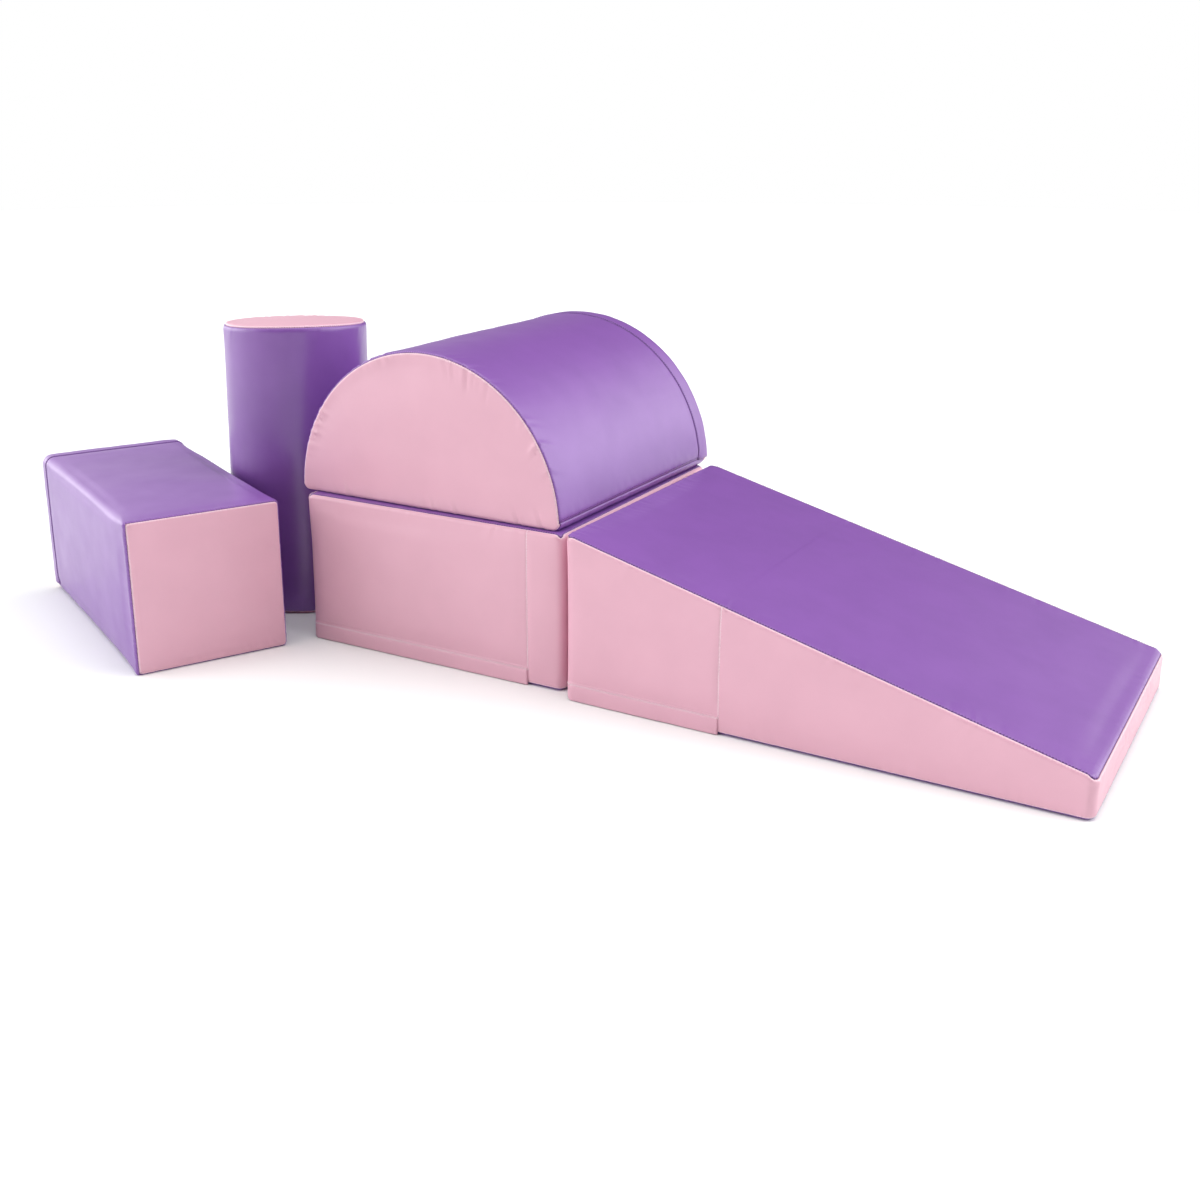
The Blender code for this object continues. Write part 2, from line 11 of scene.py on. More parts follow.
import bmesh
import bpy
import numpy as np
from mathutils import Matrix, Vector
from mathutils.kdtree import KDTree


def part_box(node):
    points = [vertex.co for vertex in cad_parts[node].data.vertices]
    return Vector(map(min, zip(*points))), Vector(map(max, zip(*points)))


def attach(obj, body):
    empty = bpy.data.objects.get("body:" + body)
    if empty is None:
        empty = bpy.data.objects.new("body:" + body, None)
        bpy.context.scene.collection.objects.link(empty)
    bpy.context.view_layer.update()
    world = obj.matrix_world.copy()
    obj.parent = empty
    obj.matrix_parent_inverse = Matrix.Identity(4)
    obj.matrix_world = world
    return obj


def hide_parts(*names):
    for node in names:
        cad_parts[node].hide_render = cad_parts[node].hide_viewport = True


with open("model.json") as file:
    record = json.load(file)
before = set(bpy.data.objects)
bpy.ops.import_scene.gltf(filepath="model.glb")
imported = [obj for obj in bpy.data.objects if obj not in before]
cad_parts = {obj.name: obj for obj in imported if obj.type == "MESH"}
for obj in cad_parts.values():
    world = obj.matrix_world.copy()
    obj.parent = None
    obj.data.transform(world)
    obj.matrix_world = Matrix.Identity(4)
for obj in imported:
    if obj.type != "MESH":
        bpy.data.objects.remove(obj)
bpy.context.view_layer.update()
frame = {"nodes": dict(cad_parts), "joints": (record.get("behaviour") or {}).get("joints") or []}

mm = 0.001

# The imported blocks' own sizes
cover_thickness = 1.2 * mm
cover_crown = 3 * mm
corner_radius = 16 * mm
base_height = 300 * mm
base_seam_inset = 76 * mm
ramp_high = 312 * mm
ramp_low = 72 * mm
ramp_seam_reach = 306 * mm
arch_foot_radius = 16 * mm
arch_foot_top = arch_foot_radius * 1.06
box_foot_top = corner_radius + 0.1 * mm
hem_height = 31 * mm
hem_overlap = 6 * mm
zip_end_gap = 0.3 * mm
zip_start = 10.4 * mm
zip_tape_width = 16 * mm
zip_tape_end = 26.8 * mm
zip_flat_end = 49 * mm
arch_fly_width = 44 * mm
box_fly_width = 33 * mm

# The grid of a skin
column_step = 5 * mm
row_step = 9 * mm
fine_steps = np.array([0.35, 0.8, 1.4, 2.2, 3.3, 4.8, 6.8, 9.4, 12.6]) * mm
least_gap = 1.4 * mm
even_rows, fine_low, fine_high, fine_ends = (0, 0), (1, 0), (0, 1), (1, 1)
cap_inset = 14.5 * mm
least_flat = 2 * mm
corner_clear = 1.5 * mm
gathered_columns = 7
seam_sample = 0.5 * mm
least_height = 0.3 * mm
zip_columns = 4

# Stitches, zip teeth and the hem
seam_stitch = dict(Pitch=5.2 * mm, Length=3.6 * mm, Radius=0.5 * mm, Lean=math.radians(16))
zigzag_stitch = dict(Pitch=3.4 * mm, Length=6.6 * mm, Radius=0.62 * mm, Slant=math.radians(57))
zip_tooth = dict(Pitch=1.3 * mm, Length=2.5 * mm, Radius=0.5 * mm, Slant=math.radians(84),
                 Looseness=0.02)
thread_lift = 0.3 * mm
seam_stitch_row = 3
zigzag_row = 5
tooth_offset = 1.45 * mm
tooth_lift = 0.75 * mm
fly_stitch_inset = 2.6 * mm
fly_stitch_row = 4
slack_height = 0.3 * mm
far_from_seam = 100 * mm

# The fly over a zip: distance back from its sewn edge as a share of its width, and lift
fly_section = ((0, 0.2), (0.004, 0.7), (0.016, 1.05), (0.036, 1.1), (0.059, 0.6), (0.082, 1.2),
               (0.12, 1.9), (0.18, 2.8), (0.26, 3.6), (0.36, 4.1), (0.48, 4.4), (0.6, 4.5),
               (0.72, 4.4), (0.82, 4.1), (0.89, 3.5), (0.925, 2.8), (0.935, 2.2), (0.925, 1.7))
fly_least_lift = 1.1
fly_corner_share = 0.35
fly_corner_turning = 0.1
fly_corner_columns = 3
fly_waves = (83 * mm, 151 * mm, 47 * mm)
fly_swell = 3 * mm
fly_fade = 75 * mm

# The hem flap: distance out from the band and height above the floor
flap_section = ((-0.3, 37.4), (0.05, 36.9), (0.4, 35.8), (0.8, 34.4), (1.3, 33), (1.85, 31.6),
                (2.4, 30.1), (2.85, 28.6), (3.1, 26.8), (3.2, 24), (3.3, 19), (3.4, 13),
                (3.5, 8), (3.6, 4.4), (3.6, 2.6), (3.4, 1.5), (2.9, 1.1))
hem_corner_rise = 6 * mm
hem_corner_flat = 0.8
hem_end_curl = 2.4 * mm
hem_end_lift = 0.1
hem_gap = 0.15 * mm
hem_waves = (47 * mm, 89 * mm, 210 * mm)
hem_past_seam = 3
hem_slack_top = 30
hem_rise_top = 20
hem_bulge_start, hem_bulge_run = 18, 16

# How far a seam lies down its rolled edge, along the edge or straight down
base_seam_drop = 0.3 * mm
ramp_seam_fall = 0.2 * mm
ramp_high_seam_fall = 5.5 * mm
ramp_low_seam_fall = 4.6 * mm
notch_drop = 8 * mm
notch_reach = 7 * mm
cylinder_seam_drop = 11 * mm

# Edges rolled round the foam, crowns of the ends and the foam's gap under a cover
face_edge_radius = 7 * mm
foot_radius = 9 * mm
base_edge_radius = 8 * mm
ramp_edge_radius = 7 * mm
ramp_low_edge_extra = 5 * mm
ramp_level_edge = 13 * mm
rear_edge_radius = 10 * mm
top_edge_radius = 13 * mm
end_crown = 4 * mm
ramp_crown = 5 * mm
cylinder_crown = 1.5 * mm
level_gap = 2 * mm
wall_run = 24 * mm
dome_edge = 0.4
foam_inset = 6 * mm

# Angles round a rolled edge at which a seam lies, and its change at the foot or on the left
foot_seam_angle = math.radians(58)
cylinder_foot_seam_angle = math.radians(62)
arch_seam_angles = (42, 20)
box_seam_angles = (50, 26)

# The box's long edges: rounder near its ends than between them
box_crisp_radius = 7 * mm
box_soft_radius = 6 * mm
box_soft_reach = 95 * mm
box_soft_run = 80 * mm
box_crisp_reach = 60 * mm
box_crisp_run = 120 * mm

# The cylinder leans a little: its top falls away to one side and its left side bends
cylinder_top_fall = 5.5 * mm
cylinder_sag = 10 * mm
cylinder_fall_heading = (-0.56, 0.83, 0)
cylinder_bend_heading = (0.87, 0.493, 0)
cylinder_bend_side = 0.25
cylinder_bend = ((0, 0.2, 0.6, 1), (-5, -8, 0, 6))
cylinder_zip_clear = (12 * mm, 60 * mm)
cylinder_top_clear = 7 * mm
cylinder_seam_wave = 0.8
cylinder_still_shares = (0.97, 0.02)

# What sewing does to a cover. A seam's strength is its share of the full depth.
groove_depth = 1.4 * mm
groove_width = 1.15 * mm
faint_reach = 4 * mm
light_seam = 0.45
arch_fly_seam = 0.3
arch_foot_seam = 0.5
box_fly_seam = 0.2
arch_pucker = 2.5
cylinder_pucker = 1.2
roll_height = 0.5 * mm
roll_reach = 11 * mm
pucker_height = 0.35 * mm
pucker_reach = 9 * mm
pucker_lengths = np.array([12.5, 17, 26, 43]) * mm
pucker_weights = np.array([0.8, 1, 0.8, 0.6])
sway_height = 0.32 * mm
sway_lengths = (75 * mm, 190 * mm)
sway_waves = 14
pucker_slant = 0.35
pucker_patch = (0.55, 0.45, 0.21)
corner_pinch = (2 * mm, 5 * mm)
box_corner_pinch = (1.5 * mm, 4 * mm)
flat_reach = 11 * mm
flat_slope = 6

# The short cloth simulation that fills each cover out between its seams
cloth_step = 20 * mm
cloth_pressure = 4
cloth_frames = 20
cloth_stiffness = 60
cloth_bending = 4
held_reach = 11 * mm
fill_height = 1.8 * mm
fill_spread = 2 * mm
fill_neighbours = 5

floor_radius = 14

# Soft walls of the studio: the direction each shines from, its spread and its strength
surround_lights = (
    ((0, 0, 1), 8, 3.5),
    ((0.87, 0.493, 0.45), 6, 3.5),
    ((-0.87, -0.493, 0.15), 6, 4.2),
    ((-0.964, 0.267, 0.15), 6, 1.2),
    ((-0.964, 0.267, 0), 24, 1.2),
    ((0.45, 0.87, 0.15), 16, 1.0),
)

Outline = namedtuple("Outline", "point out crown reach quarters")


# Where the blocks stand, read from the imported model

def joint(name):
    return next(found for found in frame["joints"] if found["name"] == name)


def turn_of(axis):
    return math.atan2(axis[1], axis[0])


def local_box(node, turn):
    """A node's lowest and highest corners in axes turned about Z."""
    spots = vertex_places(frame["nodes"][node].data) @ np.array(Matrix.Rotation(turn, 3, "Z"))
    return spots.min(0), spots.max(0)


def placed(turn, x, y, z=0.0, lying=False):
    """A block's place. A lying block's skin runs from its rear end to its front end."""
    place = Matrix.Rotation(turn, 4, "Z") @ Matrix.Translation((x, y, z))
    if lying:
        place = place @ Matrix.Rotation(math.pi / 2, 4, "X")
    return place


# Outlines of the skins, anticlockwise seen from the upper end

def swell(share):
    return 4 * share * (1 - share)


def smooth(value):
    """A smooth step from nought to one."""
    share = np.clip(value, 0, 1)
    return share * share * (3 - 2 * share)


def dome(share):
    """The rise of an end across its width: level at its border and flat in the middle."""
    return smooth(np.minimum(share, 1 - share) / dome_edge)


def way_round(outline):
    return outline.reach[-1] + np.linalg.norm(outline.point[0] - outline.point[-1])


def from_corners(outline):
    """Distance of each column along the outline from the nearest corner."""
    gaps = np.abs(outline.reach[:, None] - outline.reach[list(outline.quarters)][None])
    return np.minimum(gaps, way_round(outline) - gaps).min(1)


def side_points(start, end, shares):
    start = np.array(start)
    end = np.array(end)
    along = (end - start) / np.linalg.norm(end - start)
    points = start + np.outer(shares, end - start)
    outs = np.tile((along[1], -along[0]), (len(shares), 1))
    return points, outs, swell(np.asarray(shares))


def arc_points(centre, radius, first, last, count, skip_first=True):
    angles = np.linspace(first, last, count + 1)[1 if skip_first else 0:]
    outs = np.stack((np.cos(angles), np.sin(angles)), 1)
    return np.array(centre) + outs * radius, outs, np.zeros(len(angles))


def even_shares(length):
    count = max(2, round(length / column_step))
    return np.linspace(0, 1, count + 1)[1:]


def gathered_shares(length, seam):
    """Even shares of a side with closer ones on both sides of an upright seam."""
    steps = fine_steps[:gathered_columns]
    near = (seam + np.concatenate((-steps[::-1], [0], steps))) / length
    even = even_shares(length)
    clear = np.abs(even * length - seam) > fine_steps[gathered_columns]
    return np.sort(np.concatenate((even[clear], near)))


def close_outline(stretches, quarters):
    """Joins stretches into an outline, without the last point, which is the first one again."""
    point, out, crown = (np.concatenate(column)[:-1] for column in zip(*stretches))
    step = np.linalg.norm(np.diff(point, axis=0, prepend=point[-1:]), axis=1)
    step[0] = 0
    return Outline(point, out, crown, np.cumsum(step), quarters)


def rectangle_outline(left, right, bottom, top, seam=None):
    """A rounded rectangle that starts half way round its lower left corner."""
    radius, half, quarter = corner_radius, 3, math.pi / 2
    near, far, low, high = left + radius, right - radius, bottom + radius, top - radius
    wide = right - left - 2 * radius
    across = even_shares(wide) if seam is None else gathered_shares(wide, seam - left - radius)
    back = np.append((1 - across)[::-1], 1)[1:]
    upward = even_shares(top - bottom - 2 * radius)
    sides = (((near, bottom), (far, bottom), across), ((right, low), (right, high), upward),
             ((far, top), (near, top), back), ((left, high), (left, low), upward))
    stretches = [arc_points((near, low), radius, quarter * 2.5, quarter * 3, half, False)]
    for turn, corner in enumerate(((far, low), (far, high), (near, high))):
        stretches += [side_points(*sides[turn]),
                      arc_points(corner, radius, quarter * (turn - 1), quarter * turn, 2 * half)]
    stretches += [side_points(*sides[3]),
                  arc_points((near, low), radius, quarter * 2, quarter * 2.5, half)]
    first = len(across) + 2 * half
    second = len(upward) + 2 * half
    return close_outline(stretches, (0, first, first + second, 2 * first + second))


def half_round_outline(radius, foot):
    """The half-round end: a flat foot, two rounded foot corners and the arc."""
    inner = radius - foot
    foot_reach = math.sqrt(inner ** 2 - foot ** 2)
    foot_angle = math.asin(foot / inner)
    down = -math.pi / 2
    half = 4
    flat = even_shares(2 * foot_reach)
    bottom = len(flat) + 2 * half
    sweep = math.pi - 2 * foot_angle
    side = max(4, round((radius * sweep / column_step - bottom) / 2))
    arc = bottom + 2 * side - 2 * half
    turned = foot_angle - down
    stretches = [arc_points((-foot_reach, foot), foot, down - turned / 2, down, half, False),
                 side_points((-foot_reach, 0), (foot_reach, 0), flat),
                 arc_points((foot_reach, foot), foot, down, foot_angle, 2 * half),
                 arc_points((0, 0), radius, foot_angle, math.pi - foot_angle, arc),
                 arc_points((-foot_reach, foot), foot, math.pi - foot_angle,
                            math.pi - foot_angle + turned / 2, half)]
    stretches[1] = (*stretches[1][:2], np.zeros(len(flat)))
    stretches[3] = (*stretches[3][:2], np.sin(math.pi * np.arange(1, arc + 1) / arc))
    return close_outline(stretches, (0, bottom, bottom + side, 2 * bottom + side))


def circle_outline(radius):
    """A circle whose first columns cross the zip, on the +X side."""
    quarter = round(radius * math.pi / 2 / column_step)
    slot = zip_tape_width / 2 / radius
    across = arc_points((0, 0), radius, -slot, slot, zip_columns, False)
    around = arc_points((0, 0), radius, slot, 2 * math.pi - slot, 4 * quarter - zip_columns)
    return close_outline([across, around], (0, quarter, 2 * quarter, 3 * quarter))


def wall_share(outline):
    """How far each column of a lying block is up its walls from the floor, up to one."""
    return smooth((outline.point[:, 1] - corner_radius) / wall_run)


def swell_at_fly(outline, fly_width, fit=None):
    """Lifts a wrap gently up to the front edge of its fly, so that the fly lies level."""
    lift = outline.out * wall_share(outline)[:, None]

    def swollen(grid, inset):
        height = grid[..., 2]
        rise = np.clip((height - zip_tape_end) / (fly_width - zip_tape_end), 0, 1)
        fade = np.exp(-np.clip(height - fly_width, 0, None) / fly_fade)
        raised = fit(grid, inset) if fit else grid.copy()
        raised[..., :2] += (fly_swell * rise * fade)[..., None] * lift[None]
        return raised

    return swollen


def corner_shares(outline):
    """Each column's share in each of the four corners: one round it, less along the sides."""
    around = way_round(outline)
    corners = outline.reach[list(outline.quarters)]
    arc = corner_radius * math.pi / 4
    shares = np.zeros((len(outline.point), 4))
    for number, own in enumerate(corners):
        before = corners[number - 1] - around * (number == 0)
        after = corners[(number + 1) % 4] + around * (number == 3)
        for turn in (-around, 0, around):
            shares[:, number] += np.interp(outline.reach + turn, (before + arc, own - arc,
                                           own + arc, after - arc), (0, 1, 1, 0))
    return shares


def fit_corners(outline, radii):
    """Gives a rectangle's four corners other radii along its block, its sides kept in place."""
    shares = corner_shares(outline)
    signs = np.array(((-1, -1), (1, -1), (1, 1), (-1, 1)))
    pull = signs[None] - outline.out[:, None]

    def fit(grid, inset):
        wanted = radii(grid[..., 2].mean(1))
        kept = np.maximum(wanted[:, None], inset[..., None] + corner_clear)
        change = (corner_radius - kept) * shares[None]
        fitted = grid.copy()
        fitted[..., :2] += np.einsum("rck,ckd->rcd", change, pull)
        return fitted

    return fit


# The profile of a skin: flat end, rounded edge, side, rounded edge, flat end

class Profile:
    """Runs up a block's side from one end to the other, one value for each column."""

    def __init__(self, height, low_radius, high_radius, columns):
        self.low = np.broadcast_to(low_radius, columns).astype(float)
        self.high = np.broadcast_to(high_radius, columns).astype(float)
        self.height = height
        self.low_flat = cap_inset - self.low
        inset = np.maximum(cap_inset, self.high + least_flat)
        self.low_end = self.low_flat + self.low * math.pi / 2
        self.high_start = self.low_end + height - self.low - self.high
        self.high_end = self.high_start + self.high * math.pi / 2
        self.end = self.high_end + inset - self.high

    def high_drop(self, drop):
        return self.high_end - drop

    def low_seam(self, angle):
        return self.low_flat + self.low * angle

    def high_seam(self, angle):
        return self.high_end - self.high * angle

    def at_height(self, height):
        return self.low_end + height - self.low

    def inset_height(self, reach):
        """Inset from the side and height above the lower end, at a reach up the profile."""
        low_angle = np.clip((reach - self.low_flat) / self.low, 0, math.pi / 2)
        high_angle = np.clip((reach - self.high_start) / self.high, 0, math.pi / 2)
        low_inset = self.low * (1 - np.sin(low_angle)) + np.clip(self.low_flat - reach, 0, None)
        high_inset = self.high * (1 - np.cos(high_angle)) + np.clip(reach - self.high_end, 0, None)
        side = np.clip(reach - self.low_end, 0, self.high_start - self.low_end)
        height = self.low * (1 - np.cos(low_angle)) + side + self.high * np.sin(high_angle)
        return low_inset + high_inset, height


def rows_between(start, end, fine_start, fine_end):
    """Reaches of the rows of one stretch, closer together at an end that is sewn."""
    steps = fine_steps[fine_steps * (fine_start + fine_end) < (end - start).min() - least_gap]
    rows = [start]
    low, high = start, end
    if fine_start:
        rows += [start + step for step in steps]
        low = rows[-1]
    if fine_end:
        high = end - steps[-1]
    count = max(1, math.ceil((high - low).mean() / row_step))
    rows += [low + (high - low) * step / count for step in range(1, count)]
    if fine_end:
        rows += [end - step for step in steps[::-1]]
    return rows


def cap_grid(loop, quarters):
    """Fills a loop of points with a grid that meets it point for point."""
    one, two, three = quarters[1:]
    ring = np.concatenate((loop, loop[:1]))
    bottom, right = ring[:one + 1], ring[one:two + 1]
    top, left = ring[two:three + 1][::-1], ring[three:][::-1]
    u = np.linspace(0, 1, len(bottom))[:, None, None]
    v = np.linspace(0, 1, len(right))[None, :, None]
    across = (1 - v) * bottom[:, None] + v * top[:, None]
    upward = (1 - u) * left[None] + u * right[None]
    corners = ((1 - u) * (1 - v) * ring[0] + u * (1 - v) * ring[one]
               + u * v * ring[two] + (1 - u) * v * ring[three])
    return across + upward - corners


def cap_border(wide, high):
    """The grid places that lie on the loop, in the loop's order."""
    return ([(step, 0) for step in range(wide - 1)]
            + [(wide - 1, step) for step in range(high - 1)]
            + [(wide - 1 - step, high - 1) for step in range(wide - 1)]
            + [(0, high - 1 - step) for step in range(high - 1)])


# A whole skin, before and after sewing

def vertex_places(mesh):
    places = np.empty(len(mesh.vertices) * 3, np.float32)
    mesh.vertices.foreach_get("co", places)
    return places.reshape(-1, 3)


def nearest(spots):
    """A tree that finds the nearest of these points."""
    tree = KDTree(len(spots))
    for number, spot in enumerate(spots):
        tree.insert(spot, number)
    tree.balance()
    return tree


def new_mesh(name, spots, edges, faces):
    mesh = bpy.data.meshes.new(name)
    mesh.from_pydata(spots, edges, faces)
    return mesh


def add_object(name, mesh):
    piece = bpy.data.objects.new(name, mesh)
    bpy.context.scene.collection.objects.link(piece)
    return piece


def apply_modifiers(piece):
    bpy.context.view_layer.update()
    shown = piece.evaluated_get(bpy.context.evaluated_depsgraph_get())
    made = bpy.data.meshes.new_from_object(shown)
    piece.modifiers.clear()
    piece.data = made


def cover_object(name, spots, faces, reach, along):
    """A piece of cover with its thickness. Its material reads how far each point is from the
    nearest seam and where it is along that seam."""
    mesh = new_mesh(name, spots, [], faces)
    for title, values in (("seam_reach", reach), ("seam_along", along)):
        layer = mesh.attributes.new(title, "FLOAT", "POINT")
        layer.data.foreach_set("value", values.astype(np.float32).ravel())
    mesh.shade_smooth()
    piece = add_object(name, mesh)
    wall = piece.modifiers.new("cover_thickness", "SOLIDIFY")
    wall.thickness = cover_thickness
    wall.offset = -1
    return piece


class Skin:
    """Vertices and faces of one block's cover, with the panel of each face."""

    def __init__(self, outline, profile, stretches, panel_of, place, shape=None,
                 low_cap="grid", high_crown=0.0, low_crown=0.0, fit=None):
        self.outline = outline
        self.place = np.array(place)
        self.columns = len(outline.point)
        reaches, self.row_part = [], []
        self.break_rows = [0]
        start = np.zeros(self.columns)
        for part, end, fine in stretches:
            rows = rows_between(start, end, *fine)
            reaches += rows
            self.row_part += [part] * len(rows)
            self.break_rows.append(len(reaches))
            start = end
        reaches.append(start)
        inset, height = profile.inset_height(np.array(reaches))
        rise = np.clip(height / profile.height, 0, 1)
        push = cover_crown * swell(rise) * outline.crown - inset
        spots = outline.point[None] + outline.out[None] * push[..., None]
        grid = np.concatenate((spots, height[..., None]), 2)
        if fit:
            grid = fit(grid, inset)
        self.rows = len(reaches)
        self.verts = list(grid.reshape(-1, 3))
        self.faces, self.face_panel, self.hull = [], [], []
        self.panels = []
        self.panel_of = panel_of
        self.add_sides()
        self.add_cap(0, self.row_part[0], -low_crown, low_cap)
        self.add_cap(self.rows - 1, self.row_part[-1], high_crown, "grid")
        self.verts = np.array(self.verts)
        if shape:
            self.verts = shape(self.verts)

    def add_face(self, corners, part, column):
        self.hull.append(corners)
        panel = self.panel_of(part, column)
        if panel is None:
            return
        if panel not in self.panels:
            self.panels.append(panel)
        self.faces.append(corners)
        self.face_panel.append(self.panels.index(panel))

    def add_sides(self):
        count = self.columns
        for row, part in enumerate(self.row_part):
            for column in range(count):
                low, after = row * count + column, row * count + (column + 1) % count
                self.add_face((low, after, after + count, low + count), part, column)

    def add_cap(self, row, part, crown, kind):
        start = row * self.columns
        upper = row > 0
        if kind == "flat":
            loop = list(range(start, start + self.columns))
            self.add_face(tuple(loop if upper else loop[::-1]), part, None)
            return
        loop = np.array(self.verts[start:start + self.columns])
        grid = cap_grid(loop, self.outline.quarters)
        wide, high = grid.shape[:2]
        u = np.linspace(0, 1, wide)[:, None]
        v = np.linspace(0, 1, high)[None]
        grid[..., 2] += crown * dome(u) * dome(v)
        number = np.full((wide, high), -1)
        for step, (at_u, at_v) in enumerate(cap_border(wide, high)):
            number[at_u, at_v] = start + step
        for at_u, at_v in zip(*np.nonzero(number < 0)):
            number[at_u, at_v] = len(self.verts)
            self.verts.append(grid[at_u, at_v])
        for at_u in range(wide - 1):
            for at_v in range(high - 1):
                corners = (number[at_u, at_v], number[at_u + 1, at_v],
                           number[at_u + 1, at_v + 1], number[at_u, at_v + 1])
                self.add_face(corners if upper else corners[::-1], part, None)

    def row_line(self, row, columns=None):
        """Vertices along a row, all the way round or over some columns."""
        if columns is None:
            columns = list(range(self.columns)) + [0]
        return [row * self.columns + column for column in columns]

    def rings(self, *rows):
        """Seams of full depth all the way round."""
        return [(self.row_line(row), 1) for row in rows]

    def column_line(self, column, first, last):
        return [row * self.columns + column for row in range(first, last + 1)]

    def normals(self):
        mesh = new_mesh("normals", self.verts, [], self.faces)
        found = np.empty(len(self.verts) * 3, np.float32)
        mesh.vertex_normals.foreach_get("vector", found)
        bpy.data.meshes.remove(mesh)
        return found.reshape(-1, 3)

    def measure_seams(self, lines):
        """Distance of each vertex from the nearest seam, its place along it and its strength."""
        spots, along, strengths = [], [], []
        run = 0.0
        for line, strength in lines:
            for near, far in zip(line, line[1:]):
                gap = self.verts[far] - self.verts[near]
                length = np.linalg.norm(gap)
                count = max(1, math.ceil(length / seam_sample))
                for step in range(count):
                    spots.append(self.verts[near] + gap * step / count)
                    along.append(run + length * step / count)
                    strengths.append(strength)
                run += length
        self.seam_tree = nearest(spots)
        found = [self.seam_tree.find(vert) for vert in self.verts]
        self.seam_reach = np.array([hit[2] for hit in found])
        self.seam_along = np.array([along[hit[1]] for hit in found])
        self.seam_strength = np.array([strengths[hit[1]] for hit in found])

    def sew(self, seed, lines, pucker=1.0, still=None, pinches=()):
        """Draws the skin in along its seams, puckers it there and lets the rest sway."""
        self.measure_seams(lines)
        chance = np.random.default_rng(seed)
        reach = self.seam_reach
        outward = self.normals()
        strength = self.seam_strength
        move = -groove_depth * strength * np.exp(-(reach / groove_width) ** 2)
        roll = reach / roll_reach
        move += roll_height * roll * np.exp(1 - roll) * (1 - np.exp(-(reach / groove_width) ** 2))
        fold = reach / pucker_reach
        phases = chance.uniform(0, 2 * math.pi, len(pucker_lengths))
        slanted = self.seam_along[:, None] + pucker_slant * reach[:, None]
        waves = np.sin(2 * math.pi * slanted / pucker_lengths + phases) @ pucker_weights
        steady, change, length = pucker_patch
        patches = steady + change * np.sin(2 * math.pi * self.seam_along / length + phases[0])
        move += pucker_height * pucker * strength * patches * waves * fold * np.exp(1 - fold)
        calm = np.ones(len(self.verts)) if still is None else 1 - still(self.verts)
        move += calm * self.sway(chance) * np.clip(reach / roll_reach, 0, 1)
        move += calm * self.fill(outward, still) * np.clip(reach / roll_reach, 0, 1)
        for corner, depth, width in pinches:
            away = np.linalg.norm(self.verts - self.verts[corner], axis=1)
            move -= depth * np.exp(-(away / width) ** 2)
        self.verts = self.verts + outward * move[:, None]
        upward = self.place[2, :3]
        sunk = np.clip(least_height - self.verts @ upward - self.place[2, 3], 0, None)
        self.verts += sunk[:, None] * upward

    def side_grid(self):
        """The side's vertices as rows and columns."""
        return self.verts[:self.rows * self.columns].reshape(self.rows, self.columns, 3)

    def thread(self, numbers):
        """A line of vertices of a row or a column, lifted off the skin for its stitches."""
        outward = self.normals()[numbers] @ self.place[:3, :3].T
        return self.world(self.verts[numbers]) + outward * thread_lift, outward

    def fill(self, outward, still):
        """How far pressure from inside swells each vertex outward, from a cloth simulation
        of the whole cover held at its seams, on the floor and where it has to lie still."""
        hull = add_object("hull", new_mesh("hull", self.verts, [], self.hull))
        even = hull.modifiers.new("even", "REMESH")
        even.mode = "VOXEL"
        even.voxel_size = cloth_step
        apply_modifiers(hull)
        before = vertex_places(hull.data).astype(float)
        height = before @ self.place[2, :3] + self.place[2, 3]
        held = np.array([self.seam_tree.find(spot)[2] < held_reach for spot in before])
        held |= height < cloth_step / 2
        if still is not None:
            held |= still(before) > 0.5
        group = hull.vertex_groups.new(name="held")
        group.add(np.flatnonzero(held).tolist(), 1.0, "REPLACE")
        cover = hull.modifiers.new("cover", "CLOTH")
        cloth = cover.settings
        cloth.vertex_group_mass = "held"
        cloth.use_pressure = True
        cloth.uniform_pressure_force = cloth_pressure
        cloth.effector_weights.gravity = 0
        cloth.tension_stiffness = cloth.compression_stiffness = cloth_stiffness
        cloth.bending_stiffness = cloth_bending
        cover.point_cache.frame_end = cloth_frames
        for number in range(1, cloth_frames + 1):
            bpy.context.scene.frame_set(number)
        after = vertex_places(hull.evaluated_get(bpy.context.evaluated_depsgraph_get()).data)
        bpy.context.scene.frame_set(1)
        bpy.data.objects.remove(hull)
        moved = after - before
        tree = nearest(before)
        swollen = np.empty(len(self.verts))
        for number, vert in enumerate(self.verts):
            near = tree.find_n(vert, fill_neighbours)
            weights = np.array([1 / (gap + fill_spread) ** 2 for spot, index, gap in near])
            drift = weights @ moved[[index for spot, index, gap in near]] / weights.sum()
            swollen[number] = drift @ outward[number]
        return fill_height * np.tanh(swollen / fill_height)

    def sway(self, chance):
        """A slow unevenness of the cover over its foam, from waves in every direction."""
        total = np.zeros(len(self.verts))
        for wave in range(sway_waves):
            heading = chance.normal(size=3)
            length = chance.uniform(*sway_lengths)
            turn = heading / np.linalg.norm(heading) * 2 * math.pi / length
            total += np.sin(self.verts @ turn + chance.uniform(0, 2 * math.pi))
        return sway_height * total / math.sqrt(sway_waves)

    def world(self, verts):
        return verts @ self.place[:3, :3].T + self.place[:3, 3]

    def world_grid(self, rows):
        grid = np.array(rows)
        return self.world(grid.reshape(-1, 3)).reshape(grid.shape)

    def outward(self, out):
        """An outline's outward directions, turned with the block."""
        return np.column_stack((out, np.zeros(len(out)))) @ self.place[:3, :3].T

    def panel_object(self, name, panel):
        """One sewn panel as an object of its own."""
        index = self.panels.index(panel)
        faces = [face for face, mark in zip(self.faces, self.face_panel) if mark == index]
        used = np.unique(np.concatenate([np.array(face) for face in faces]))
        renumber = {old: new for new, old in enumerate(used)}
        # A fainter seam reads as further off, for shallower stitch dents, less painted seam shade
        # and less painted rim highlight
        shown_reach = self.seam_reach + (1 - self.seam_strength) * faint_reach
        return cover_object(name, self.world(self.verts[used]),
                            [[renumber[vert] for vert in face] for face in faces],
                            shown_reach[used], self.seam_along[used])


# Materials

